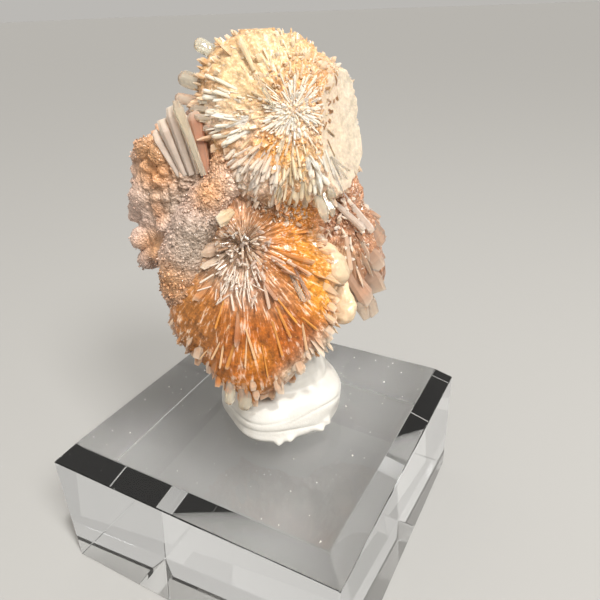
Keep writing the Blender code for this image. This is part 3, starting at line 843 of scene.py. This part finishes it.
def object_from(name, surface, materials, tint=None, frost=None, finishes=None, ray=None, turned=True):
    """A mesh object at the origin, kept below the top of the model's box.

    It has the surface's UVs, and its along and chance as attributes, with tint, frost and ray where
    they are given. finishes is each face's material, and turned whether it is in the cluster's frame.
    """
    mesh = bpy.data.meshes.new(name)
    surface.points[:, 2] = np.minimum(surface.points[:, 2], CAD_BOX[1][2] / MM - BOX_GAP)
    faces = [corners for group in surface.faces for corners in group.tolist()]
    points = placed(surface.points) if turned else surface.points * MM
    mesh.from_pydata(points.tolist(), [], faces)
    mesh.uv_layers.new(name="run").data.foreach_set(
        "uv", flat(np.concatenate([uv.reshape(-1, 2) for uv in surface.uvs])))
    if tint is not None:
        shown = mesh.color_attributes.new("tint", "FLOAT_COLOR", "POINT")
        shown.data.foreach_set("color", flat(np.column_stack([tint, np.ones(len(tint))])))
    for key, values in (("along", surface.along), ("chance", surface.chance), ("frost", frost)):
        if values is not None:
            mesh.attributes.new(key, "FLOAT", "POINT").data.foreach_set("value", flat(values))
    if ray is not None:
        mesh.attributes.new("ray", "FLOAT_VECTOR", "POINT").data.foreach_set("vector", flat(ray))
    for item in materials:
        mesh.materials.append(item)
    if finishes is not None:
        mesh.polygons.foreach_set("material_index", finishes)
    mesh.update()
    made = bpy.data.objects.new(name, mesh)
    bpy.context.scene.collection.objects.link(made)
    return made


# Most of a noise's values lie in this range
NOISE_RANGE = {"From_Min": 0.3, "From_Max": 0.7}


def add_node(tree, kind, feeds=None, **settings):
    """Adds a shader node.

    settings are its properties, and its sockets by name, and feeds its sockets by number. A socket is
    given a value, an output to link it to, or a node for its first output.
    """
    node = tree.nodes.new("ShaderNode" + kind)
    sockets = dict(feeds or {})
    for key, value in settings.items():
        if hasattr(node, key):
            setattr(node, key, value)
        else:
            sockets[key.replace("_", " ")] = value
    for socket, value in sockets.items():
        if isinstance(value, bpy.types.Node):
            value = value.outputs[0]
        if isinstance(value, bpy.types.NodeSocket):
            tree.links.new(value, node.inputs[socket])
        else:
            node.inputs[socket].default_value = value
    return node


def new_material(name):
    """A material without nodes, and what adds a node to it."""
    made = bpy.data.materials.new(name)
    made.use_nodes = True
    made.node_tree.nodes.clear()
    return made, partial(add_node, made.node_tree)


def opaque(hex_colour):
    """A hex colour as a colour socket takes it."""
    return *linear(hex_colour), 1


def creedite(name, transmission, roughness, pale_ends, washed, glow):
    """Glassy prismatic creedite as it grew.

    Fine grooves run along each prism and break up its reflections, the stain differs from crystal to
    crystal, and the ends are paler than the shanks. transmission is how see-through it is, washed how
    much weaker its stain is than the massive mineral's, and glow the share of light let through its
    shaded sides.
    """
    made, add = new_material(name)
    place = add("TexCoord").outputs["Object"]
    tint = add("Attribute", attribute_name="tint").outputs["Color"]
    along = add("Attribute", attribute_name="along").outputs["Fac"]
    chance = add("Attribute", attribute_name="chance").outputs["Fac"]
    frost = add("Attribute", attribute_name="frost").outputs["Fac"]
    run = add("UVMap", uv_map="run")

    # Stain that gathers in blotches about 1.5 mm wide, and in threads along each prism
    blotch = add("TexNoise", Vector=place, Scale=650.0, Detail=4.0, Roughness=0.6)
    blotches = add("MapRange", Value=blotch, **NOISE_RANGE, To_Min=0.82, To_Max=1.2)
    own = add("MapRange", Value=chance, To_Min=0.8, To_Max=1.15)
    long = add("Mapping", Vector=run, Scale=(2.5, 0.12, 1.0))
    thread = add("TexNoise", Vector=long, Scale=1.0, Detail=3.0)
    threads = add("MapRange", Value=thread, **NOISE_RANGE, To_Min=0.84, To_Max=1.14)
    both = add("Math", {0: blotches, 1: own}, operation="MULTIPLY")
    three = add("Math", {0: both, 1: threads}, operation="MULTIPLY")
    stained = add("VectorMath", {0: tint, 3: three}, operation="SCALE")

    # Paler ends
    end = add(
        "MapRange", Value=along, From_Min=0.8, From_Max=1.0, To_Min=washed, To_Max=max(washed, pale_ends))
    pale = add("Mix", {0: end, 6: stained, 7: opaque("#f3e6d2")}, data_type="RGBA")

    # Grooves about 0.15 mm apart along each prism, drawn a little coarser than the real ones
    stretched = add("Mapping", Vector=run, Scale=(6.0, 0.5, 1.0))
    groove = add("TexNoise", Vector=stretched, Scale=1.0, Detail=2.0)
    bump = add("Bump", Height=groove, Strength=0.15, Distance=0.00003)

    # Rougher where it is frosted, and lit through on the shaded side
    rough = add("MapRange", Value=frost, To_Min=roughness, To_Max=FROSTED_BY * roughness)
    shader = add(
        "BsdfPrincipled", Base_Color=pale.outputs[2], Roughness=rough, Normal=bump, IOR=CREEDITE_IOR,
        Transmission_Weight=transmission, Subsurface_Weight=glow, Subsurface_Radius=(1.0, 0.95, 0.85),
        Subsurface_Scale=0.0006)
    add("OutputMaterial", Surface=shader)
    return made


def massive_creedite():
    """The grown-together body of the sprays: waxy, streaked along its fibres and stained in blotches."""
    made, add = new_material("massive creedite")
    place = add("TexCoord").outputs["Object"]
    tint = add("Attribute", attribute_name="tint").outputs["Color"]
    frost = add("Attribute", attribute_name="frost").outputs["Fac"]
    ray = add("Attribute", attribute_name="ray").outputs["Vector"]

    # Fibres fan out from the heart: noise of the ray's direction gives streaks about 0.3 mm wide
    fibre = add("TexNoise", Vector=ray, Scale=26.0, Detail=4.0, Roughness=0.65)
    streak = add("MapRange", Value=fibre, **NOISE_RANGE, To_Min=0.48, To_Max=1.42)
    mottle = add("TexNoise", Vector=place, Scale=900.0, Detail=4.0, Roughness=0.65)
    blotch = add("MapRange", Value=mottle, **NOISE_RANGE, To_Min=0.65, To_Max=1.25)
    both = add("Math", {0: streak, 1: blotch}, operation="MULTIPLY")

    # Broken fibre ends, some 0.35 mm across, differ in shade and catch the light
    ends = add("TexVoronoi", Vector=place, Scale=2800.0)
    end = add("MapRange", Value=ends.outputs["Color"], To_Min=0.72, To_Max=1.25)
    three = add("Math", {0: both, 1: end}, operation="MULTIPLY")
    stained = add("VectorMath", {0: tint, 3: three}, operation="SCALE")

    # Here and there a bundle of clean pale fibres
    clean = add("MapRange", Value=fibre, From_Min=0.54, From_Max=0.68, To_Max=0.6)
    fibrous = add("Mix", {0: clean, 6: stained, 7: opaque("#f8ecd6")}, data_type="RGBA")

    # Frosted stretches are more even in colour and smoother
    even = add("MapRange", Value=frost, From_Min=0.3, From_Max=0.9, To_Max=0.75)
    cloud = add("MapRange", Value=mottle, **NOISE_RANGE, To_Min=0.72, To_Max=1.08)
    clouded = add("VectorMath", {0: tint, 3: cloud}, operation="SCALE")
    shaded = add("Mix", {0: even, 6: fibrous.outputs[2], 7: clouded}, data_type="RGBA")
    height = add("Math", {0: ends.outputs["Distance"], 1: mottle}, operation="ADD")
    relief = add("MapRange", Value=frost, From_Min=0.3, From_Max=0.9, To_Min=0.4, To_Max=0.12)
    bump = add("Bump", Height=height, Strength=relief, Distance=0.0001)
    rough = add("MapRange", Value=frost, To_Min=0.15, To_Max=0.45)
    shader = add(
        "BsdfPrincipled", Base_Color=shaded.outputs[2], Roughness=rough, Normal=bump, IOR=CREEDITE_IOR,
        Subsurface_Weight=0.25, Subsurface_Radius=(1.0, 0.6, 0.3), Subsurface_Scale=0.0007)
    add("OutputMaterial", Surface=shader)
    return made


def drusy_creedite():
    """A crust of tiny creedite grains, sugary and matt with small bright faces."""
    made, add = new_material("drusy creedite crust")
    place = add("TexCoord").outputs["Object"]
    tint = add("Attribute", attribute_name="tint").outputs["Color"]
    chance = add("Attribute", attribute_name="chance").outputs["Fac"]

    # Each grain has a shade and a roughness of its own, with finer specks over all of them
    own = add("MapRange", Value=chance, To_Min=0.85, To_Max=1.5)
    fine = add("TexNoise", Vector=place, Scale=1800.0, Detail=3.0)
    speck = add("MapRange", Value=fine, **NOISE_RANGE, To_Min=0.7, To_Max=1.2)
    both = add("Math", {0: own, 1: speck}, operation="MULTIPLY")
    shaded = add("VectorMath", {0: tint, 3: both}, operation="SCALE")
    rough = add("MapRange", Value=chance, To_Min=0.12, To_Max=0.6)

    # Sugar about 0.3 mm across
    sugar = add("TexVoronoi", Vector=place, Scale=3200.0)
    bump = add("Bump", Height=sugar, Strength=0.9, Distance=0.0002)
    shader = add(
        "BsdfPrincipled", Base_Color=shaded, Roughness=rough, Normal=bump, IOR=CREEDITE_IOR,
        Transmission_Weight=0.15)
    add("OutputMaterial", Surface=shader)
    return made


def white_putty():
    """Hand-pressed mounting putty: chalky white, waxy where it was smoothed, with faint smears."""
    made, add = new_material("hand-pressed white putty")
    place = add("TexCoord").outputs["Object"]
    slow = add("TexNoise", Vector=place, Scale=260.0, Detail=5.0, Distortion=0.8)
    shade = add("Mix", {0: slow, 6: (*colour("putty"), 1), 7: opaque("#bdb7ac")}, data_type="RGBA")
    smear = add("TexNoise", Vector=place, Scale=1500.0, Detail=4.0, Distortion=1.5)
    bump = add("Bump", Height=smear, Strength=0.35, Distance=0.00015)
    rough = add("MapRange", Value=smear, To_Min=0.38, To_Max=0.62)
    shader = add(
        "BsdfPrincipled", Base_Color=shade.outputs[2], Roughness=rough, Normal=bump, IOR=1.5,
        Subsurface_Weight=0.15, Subsurface_Radius=(1.0, 0.9, 0.75), Subsurface_Scale=0.0008)
    add("OutputMaterial", Surface=shader)
    return made


def clear_acrylic():
    """Cast acrylic, diamond polished: as clear as water, with a faint cool cast in its depth."""
    made, add = new_material("polished cast acrylic")
    place = add("TexCoord").outputs["Object"]

    # The polish leaves a faint haze in patches some 12 mm wide
    haze = add("TexNoise", Vector=place, Scale=80.0, Detail=3.0)
    rough = add("MapRange", Value=haze, From_Min=0.45, From_Max=0.75, To_Max=0.02)
    shader = add(
        "BsdfPrincipled", Roughness=rough, Base_Color=(1, 1, 1, 1), IOR=1.49, Transmission_Weight=1.0)
    depth = add("VolumeAbsorption", Color=opaque("#e9f1f4"), Density=3.0)
    add("OutputMaterial", Surface=shader, Volume=depth)
    return made


def dust():
    """Lint and dust: pale dull flecks, each of its own shade."""
    made, add = new_material("dust flecks")
    chance = add("Attribute", attribute_name="chance").outputs["Fac"]
    shade = add("Mix", {0: chance, 6: opaque("#f2efe8"), 7: opaque("#a9a49a")}, data_type="RGBA")
    shader = add("BsdfPrincipled", Base_Color=shade.outputs[2], Roughness=0.8)
    add("OutputMaterial", Surface=shader)
    return made


def studio_floor():
    """Seamless studio paper: pale, plain and matt, with a trace of fibres."""
    made, add = new_material("studio paper")
    place = add("TexCoord").outputs["Object"]
    fibre = add("TexNoise", Vector=place, Scale=900.0, Detail=2.0)
    bump = add("Bump", Height=fibre, Strength=0.05, Distance=0.0001)
    shader = add("BsdfPrincipled", Normal=bump, Base_Color=(*colour("floor"), 1), Roughness=0.9)
    add("OutputMaterial", Surface=shader)
    return made


def on_cluster(piece):
    """The piece moves with the specimen and is one of those that stand for its plain solid."""
    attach(piece, "root")
    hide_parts("creedite_cluster")


class CREEDITE_OT_sprays(Operator):
    """Builds the sprays: thousands of prisms fanning out from their hearts round massive cores"""
    bl_idname = "creedite.sprays"
    bl_label = "Crystal sprays"

    def execute(self, context):
        massive = massive_creedite()
        frosted = creedite(
            "frosted creedite prisms", transmission=0.1, roughness=0.1, pale_ends=0.35, washed=0.05, glow=0.5)
        glassy = creedite(
            "glassy creedite prisms", transmission=0.15, roughness=0.04, pale_ends=0.6, washed=0.35, glow=0.6)
        sugary = drusy_creedite()
        for name, spray in SPRAYS.items():
            crystals = spray_surface(name)
            core = core_surface(name)
            points = crystals.points
            tint, frost = zone_look(points, spray.ground)
            core_tint, core_frost = zone_look(core.points, spray.ground)
            if name == "top":
                points, _ = cleaved(points, crystals.chance)
                cleaved_points, cut = cleaved(core.points, core.chance)
                core = core._replace(points=cleaved_points)
                core_tint[cut] = (1 - CLEAVED_PULL) * core_tint[cut] + CLEAVED_PULL * colour("bone")
                core_frost[cut] = CLEAVED_FROST
            whole = joined([crystals._replace(points=points), core])
            core_faces = sum(len(group) for group in core.faces)
            if name == "left":
                first = sugary
                finishes = np.zeros(core_faces + sum(len(group) for group in crystals.faces), np.int32)
            else:
                first = frosted
                finishes = np.concatenate([
                    prism_finishes(crystals, spray.clear), np.full(core_faces, 2, np.int32)])
            on_cluster(object_from(
                f"{name}_spray", whole, [first, glassy, massive],
                tint=np.concatenate([tint, core_tint]), frost=np.concatenate([frost, core_frost]),
                finishes=finishes, ray=unit(whole.points - heart_of(spray))))
        dice = np.random.default_rng([SEED, 55])
        for name, groups, build in (("fans", FANS, fan_surface), ("scatters", SCATTERS, scatter_surface)):
            surfaces = [build(group, dice) for group in groups]
            surfaces = [part._replace(points=cleaved(part.points, part.chance)[0]) for part in surfaces]
            looks = [zone_look(part.points, group.ground) for part, group in zip(surfaces, groups)]
            tint = np.concatenate([
                GROUND_PULL * colour(group.ground) + (1 - GROUND_PULL) * look[0]
                for group, look in zip(groups, looks)])
            finishes = np.concatenate([
                prism_finishes(part, group.clear) for part, group in zip(surfaces, groups)])
            on_cluster(object_from(
                f"crystal_{name}", joined(surfaces), [frosted, glassy], tint=tint,
                frost=np.concatenate([look[1] for look in looks]), finishes=finishes))
        return {"FINISHED"}


def arrays_of(crystals):
    """The roots, tips, widths and flatness of single crystals."""
    return [
        np.array([getattr(crystal, key) for crystal in crystals], float)
        for key in ("root", "tip", "width", "flatness")]


def object_with_own_tints(name, crystals, surface, material, frost):
    """An object of single crystals, each in its own colour and all frosted alike."""
    points = len(surface.points)
    tint = np.repeat([colour(crystal.ground) for crystal in crystals], points // len(crystals), axis=0)
    return object_from(name, surface, [material], tint=tint, frost=np.full(points, frost))


class CREEDITE_OT_single_crystals(Operator):
    """Builds the crystals that stand out: clear chisel-ended ones and thick round-ended ones"""
    bl_idname = "creedite.single_crystals"
    bl_label = "Single crystals"

    def execute(self, context):
        dice = np.random.default_rng([SEED, 101])
        clear = creedite(
            "clear creedite crystals", transmission=0.8, roughness=0.02, pale_ends=0.5, washed=0.3, glow=0.5)
        stained = creedite(
            "stained creedite blades", transmission=0.35, roughness=0.03, pale_ends=0.6, washed=0.25,
            glow=0.7)
        waxy = creedite(
            "waxy cream creedite", transmission=0.1, roughness=0.1, pale_ends=0.2, washed=0.1, glow=0.7)
        for name, crystals, material in (
                ("clear_blades", CLEAR_BLADES, clear), ("stained_blades", STAINED_BLADES, stained)):
            blades = prisms(*arrays_of(crystals), dice, facing=TOWARDS_VIEW)
            on_cluster(object_with_own_tints(name, crystals, blades, material, 0.05))
        knobs = fingers(KNOBS, dice, 24, 20, 0.03)
        on_cluster(object_with_own_tints("clear_knobs", KNOBS, knobs, clear, 0.1))
        smooth = fingers(WAXY_FINGERS, dice, 30, 26, 0.05)
        on_cluster(object_with_own_tints("waxy_crystals", WAXY_FINGERS, smooth, waxy, 0.3))
        return {"FINISHED"}


def druse_balls(dice):
    """Middles and radii of the balls that the crust lies on, strung along its path and a little astray."""
    knots = np.arange(len(DRUSE_PATH))
    steps = np.linspace(0, len(DRUSE_PATH) - 1, DRUSE_BALLS)
    centres = np.column_stack([
        np.interp(steps, knots, [centre[axis] for centre, _ in DRUSE_PATH]) for axis in range(3)])
    centres += dice.normal(size=centres.shape) * DRUSE_STRAY
    radii = np.interp(steps, knots, [radius for _, radius in DRUSE_PATH])
    return centres, radii * dice.uniform(*DRUSE_GIRTHS, len(steps))


def crust_places(centres, radii, dice):
    """Places for the crust's grains: on the balls, more in front, and not inside another ball."""
    count = sizes().grains
    chosen = dice.integers(0, len(radii), count)
    aims = unit(dice.normal(size=(count, 3)) + np.array([0, -0.5, 0]))
    places = centres[chosen] + aims * (radii[chosen] * dice.uniform(0.93, 1.04, count))[:, None]
    away = np.linalg.norm(places[:, None] - centres[None], axis=2) / radii
    away[np.arange(count), chosen] = 2
    return places[away.min(axis=1) > 0.9]


def ball_surfaces(centres, radii):
    """The balls under the grains, each with a ripple of a twenty-fifth of its radius."""
    polar, clock = np.meshgrid(np.linspace(0.03, np.pi - 0.03, 24), clocks(36), indexing="ij")
    aim = np.stack([np.sin(polar) * np.cos(clock), np.sin(polar) * np.sin(clock), -np.cos(polar)], axis=-1)
    ripple = 1 + 0.04 * np.sin(9 * clock + 5 * polar) * np.sin(7 * polar)
    return [
        grid_surface(centre + 0.97 * radius * aim * ripple[..., None], 0.4, 0.4)
        for centre, radius in zip(centres, radii)]


class CREEDITE_OT_druse(Operator):
    """Builds the granular crust and the drusy lobes on the left"""
    bl_idname = "creedite.druse"
    bl_label = "Druse"

    def execute(self, context):
        dice = np.random.default_rng([SEED, 202])
        centres, radii = druse_balls(dice)
        places = crust_places(centres, radii, dice)
        lobes = fingers(SUGARY_FINGERS, dice, 30, 30, 0.06)
        coated = np.concatenate([lobes.points, spray_surface("left").points])
        outside = depth_share(SPRAYS["left"], coated) > SUGAR_OUT_OF_LEFT
        coated = coated[outside & (depth_share(SPRAYS["lower"], coated) > SUGAR_OUT_OF_LOWER)]
        picked = dice.integers(0, len(coated), SUGAR_GRAINS)
        sown = coated[picked] + dice.normal(size=(SUGAR_GRAINS, 3)) * SUGAR_DEPTH
        spots = np.concatenate([places, sown])
        size = sizes().grain / MM * np.where(np.arange(len(spots)) < len(places), 1.0, SUGAR_SHARE)
        sprinkled = grains(spots, size * dice.lognormal(0, 0.35, len(spots)), dice)
        whole = joined([sprinkled, lobes, *ball_surfaces(centres, radii)])
        tint, frost = zone_look(whole.points, "rose grey")
        on_cluster(object_from("druse_crust", whole, [drusy_creedite()], tint=tint, frost=frost))
        return {"FINISHED"}


def putty_points(rows=150, columns=260):
    """The putty's surface as level rings, closer together towards the top.

    The radius blends the foot's and the dome's by (foot ** blend + dome ** blend) ** (1 / blend) and
    sways a little round the clock. Above the fold it stands back by the crease size, with a groove
    along the fold. Each crease is a groove that fades with distance from its line and comes and goes
    round the clock. A soft roll swells round the foot, and each pinch draws out a small point.
    """
    low = BLOCK_HEIGHT + PUTTY_GAP
    top = PUTTY_DOME[2] + PUTTY_DOME[4] - PUTTY_GAP
    height = low + (top - low) * np.sin(np.linspace(0, 0.5 * np.pi, rows))
    z, clock = np.meshgrid(height, clocks(columns), indexing="ij")

    def girth(shape):
        inside = np.clip(1 - np.abs((z - shape[2]) / shape[4]) ** PUTTY_SQUARENESS, 0, 1)
        return shape[3] * inside ** (1 / PUTTY_SQUARENESS)

    radius = (girth(PUTTY_FOOT) ** PUTTY_BLEND + girth(PUTTY_DOME) ** PUTTY_BLEND) ** (1 / PUTTY_BLEND)
    radius *= 1 + 0.03 * (np.sin(3 * clock + 0.5 * z) + np.sin(5 * clock - 0.3 * z))
    crease = sizes().crease / MM
    fold = PUTTY_FOLD + 0.5 * np.sin(clock + 0.5) + 0.3 * np.sin(3 * clock)
    groove = 0.4 * crease * np.exp(-np.abs(z - fold) / FOLD_WIDTH)
    radius -= crease / (1 + np.exp((fold - z) / FOLD_EDGE)) + groove
    for level, swing, start, share in PUTTY_CREASES:
        away = z - level - swing * np.sin(clock + start) - 0.25 * np.sin(4 * clock + 2 * start)
        depth = np.exp(-np.abs(away) / CREASE_WIDTH) * (0.5 + 0.5 * np.sin(2 * clock + start))
        radius -= crease * share * depth
    level, tall, swell = PUTTY_ROLL
    radius += swell * np.exp(-((z - level) / tall) ** 2) * (1 + 0.5 * np.sin(3 * clock + 1.0))
    for x, y, level, push in PUTTY_PINCHES:
        turn = np.angle(np.exp(1j * (clock - math.atan2(y - PUTTY_FOOT[1], x - PUTTY_FOOT[0]))))
        radius += push * np.exp(-(turn / PINCH_TURN) ** 2 - ((z - level) / PINCH_HEIGHT) ** 2)
    share = np.clip((z - PUTTY_FOOT[2]) / PUTTY_SHIFT, 0, 1)
    centre_x = PUTTY_FOOT[0] + share * (PUTTY_DOME[0] - PUTTY_FOOT[0])
    centre_y = PUTTY_FOOT[1] + share * (PUTTY_DOME[1] - PUTTY_FOOT[1])
    return np.stack([centre_x + radius * np.cos(clock), centre_y + radius * np.sin(clock), z], axis=-1)


class CREEDITE_OT_putty(Operator):
    """Builds the folded white putty between the specimen and the block"""
    bl_idname = "creedite.putty"
    bl_label = "Mounting putty"

    def execute(self, context):
        piece = object_from("putty", grid_surface(putty_points(), 0, 0), [white_putty()])
        piece.data.polygons.foreach_set("use_smooth", np.ones(len(piece.data.polygons), bool))
        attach(piece, "root")
        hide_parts("mounting_putty")
        return {"FINISHED"}


class CREEDITE_OT_block(Operator):
    """Builds the clear block with softened polished edges, and the dust on it"""
    bl_idname = "creedite.block"
    bl_label = "Clear block"

    def execute(self, context):
        half = BLOCK_SIDE / 2
        corners = np.array([[1.0, 1.0], [-1.0, 1.0], [-1.0, -1.0], [1.0, -1.0]])
        profile = ((half, 0), (half, BLOCK_HEIGHT - BLOCK_BEVEL), (half - BLOCK_BEVEL, BLOCK_HEIGHT))
        rings = [np.column_stack([corners * reach, np.full(4, level)]) for reach, level in profile]
        piece = object_from(
            "clear_block", grid_surface(np.stack(rings), 0, 0), [clear_acrylic()], turned=False)
        soft = piece.modifiers.new("polished edges", "BEVEL")
        soft.width = sizes().edge
        soft.segments = 2
        soft.limit_method = "ANGLE"
        soft.angle_limit = math.radians(20)
        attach(piece, "root")
        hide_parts("acrylic_block")
        dice = np.random.default_rng([SEED, 303])
        spread = half - BLOCK_BEVEL - DUST_MARGIN
        places = dice.uniform(-spread, spread, (DUST_FLECKS, 2))
        places = places[np.hypot(*(places - DUST_FREE[:2]).T) > DUST_FREE[2]]
        spots = np.column_stack([places, np.full(len(places), BLOCK_HEIGHT + DUST_LIFT)])
        lint = grains(spots, dice.lognormal(-2.1, 0.45, len(spots)), dice)
        flecks = object_from("dust_flecks", lint, [dust()], turned=False)
        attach(flecks, "root")
        return {"FINISHED"}


def add_lamp(name, kind, place, lit, power):
    """Adds a lamp at a place in the cluster's frame, turned towards another."""
    lamp = bpy.data.lights.new(name, kind)
    lamp.energy = power * sizes().light
    light = bpy.data.objects.new(name, lamp)
    spot = Vector(placed(np.array(place)))
    away = spot - Vector(placed(np.array(lit)))
    light.matrix_world = Matrix.Translation(spot) @ away.to_track_quat("Z", "Y").to_matrix().to_4x4()
    bpy.context.scene.collection.objects.link(light)
    return lamp


def soft_room():
    """A room of soft light.

    It is even at the horizon, where it meets the floor, and above it brightest high up on the left, as
    from a large window.
    """
    world = bpy.data.worlds.new("studio")
    world.use_nodes = True
    tree = world.node_tree
    add = partial(add_node, tree)
    aimed = add("TexCoord").outputs["Generated"]
    split = add("SeparateXYZ", Vector=aimed)
    height = add("MapRange", Value=split.outputs["Z"], From_Max=0.5)
    facing = add("VectorMath", {0: aimed, 1: WINDOW_AIM}, operation="DOT_PRODUCT")
    window = add(
        "MapRange", Value=facing.outputs["Value"], From_Min=0.3, From_Max=0.9, To_Min=FAR_LIGHT,
        To_Max=WINDOW_LIGHT)
    strength = add("Mix", {0: height, 2: HORIZON_LIGHT, 3: window})
    sky = tree.nodes["Background"]
    sky.inputs["Color"].default_value = opaque("#f2efea")
    tree.links.new(strength.outputs[0], sky.inputs["Strength"])
    return world


def photo_camera():
    """The camera, whose matrix has its right, up and backward directions and its place as columns."""
    lens = bpy.data.cameras.new("camera")
    lens.lens = CAMERA_LENS
    lens.sensor_width = CAMERA_SENSOR
    lens.clip_start = 0.005
    camera = bpy.data.objects.new("camera", lens)
    columns = np.array([CAMERA_RIGHT, CAMERA_DOWN, CAMERA_FORWARD, CAMERA_PLACE])
    columns[1:3] *= -1
    camera.matrix_world = Matrix(np.vstack([columns.T, [0, 0, 0, 1]]).tolist())
    bpy.context.scene.collection.objects.link(camera)
    return camera


class CREEDITE_OT_stage(Operator):
    """Builds the pale floor, the soft studio light and the camera"""
    bl_idname = "creedite.stage"
    bl_label = "Floor, light and camera"

    def execute(self, context):
        scene = context.scene
        floor = bpy.data.meshes.new("floor")
        corners = ((-1, -1), (1, -1), (1, 1), (-1, 1))
        floor.from_pydata(
            [(x * FLOOR_REACH, y * FLOOR_REACH, -FLOOR_GAP) for x, y in corners], [], [(0, 1, 2, 3)])
        floor.materials.append(studio_floor())
        ground = bpy.data.objects.new("floor", floor)
        scene.collection.objects.link(ground)
        key = add_lamp("key", "AREA", KEY_PLACE, LIT_PLACE, KEY_POWER)
        key.shape = "SQUARE"
        key.size = KEY_SIZE
        add_lamp("sun", "SUN", SUN_PLACE, (0.0, 0.0, 0.0), SUN_POWER).angle = math.radians(SUN_SOFTNESS)
        scene.world = soft_room()
        scene.view_settings.view_transform = "Standard"
        scene.camera = photo_camera()
        return {"FINISHED"}


class CREEDITE_PT_panel(Panel):
    """Lists the steps and the sizes in the sidebar"""
    bl_idname = "CREEDITE_PT_panel"
    bl_label = "Creedite cluster"
    bl_space_type = "VIEW_3D"
    bl_region_type = "UI"
    bl_category = "Creedite"

    def draw(self, context):
        for step in STEPS:
            self.layout.operator(step.bl_idname)
        for name in CreediteSizes.__annotations__:
            self.layout.prop(context.scene.creedite_sizes, name)
        for name in CreediteColours.__annotations__:
            self.layout.prop(context.scene.creedite_colours, name)


STEPS = (
    CREEDITE_OT_stage, CREEDITE_OT_block, CREEDITE_OT_putty, CREEDITE_OT_sprays, CREEDITE_OT_single_crystals,
    CREEDITE_OT_druse)
CLASSES = (CreediteSizes, CreediteColours, *STEPS, CREEDITE_PT_panel)


def register():
    for item in CLASSES:
        bpy.utils.register_class(item)
    bpy.types.Scene.creedite_sizes = PointerProperty(type=CreediteSizes)
    bpy.types.Scene.creedite_colours = PointerProperty(type=CreediteColours)


def unregister():
    del bpy.types.Scene.creedite_colours
    del bpy.types.Scene.creedite_sizes
    for item in reversed(CLASSES):
        bpy.utils.unregister_class(item)


def main():
    register()
    for step in ("stage", "block", "putty", "sprays", "single_crystals", "druse"):
        getattr(bpy.ops.creedite, step)()


if __name__ == "__main__":
    main()
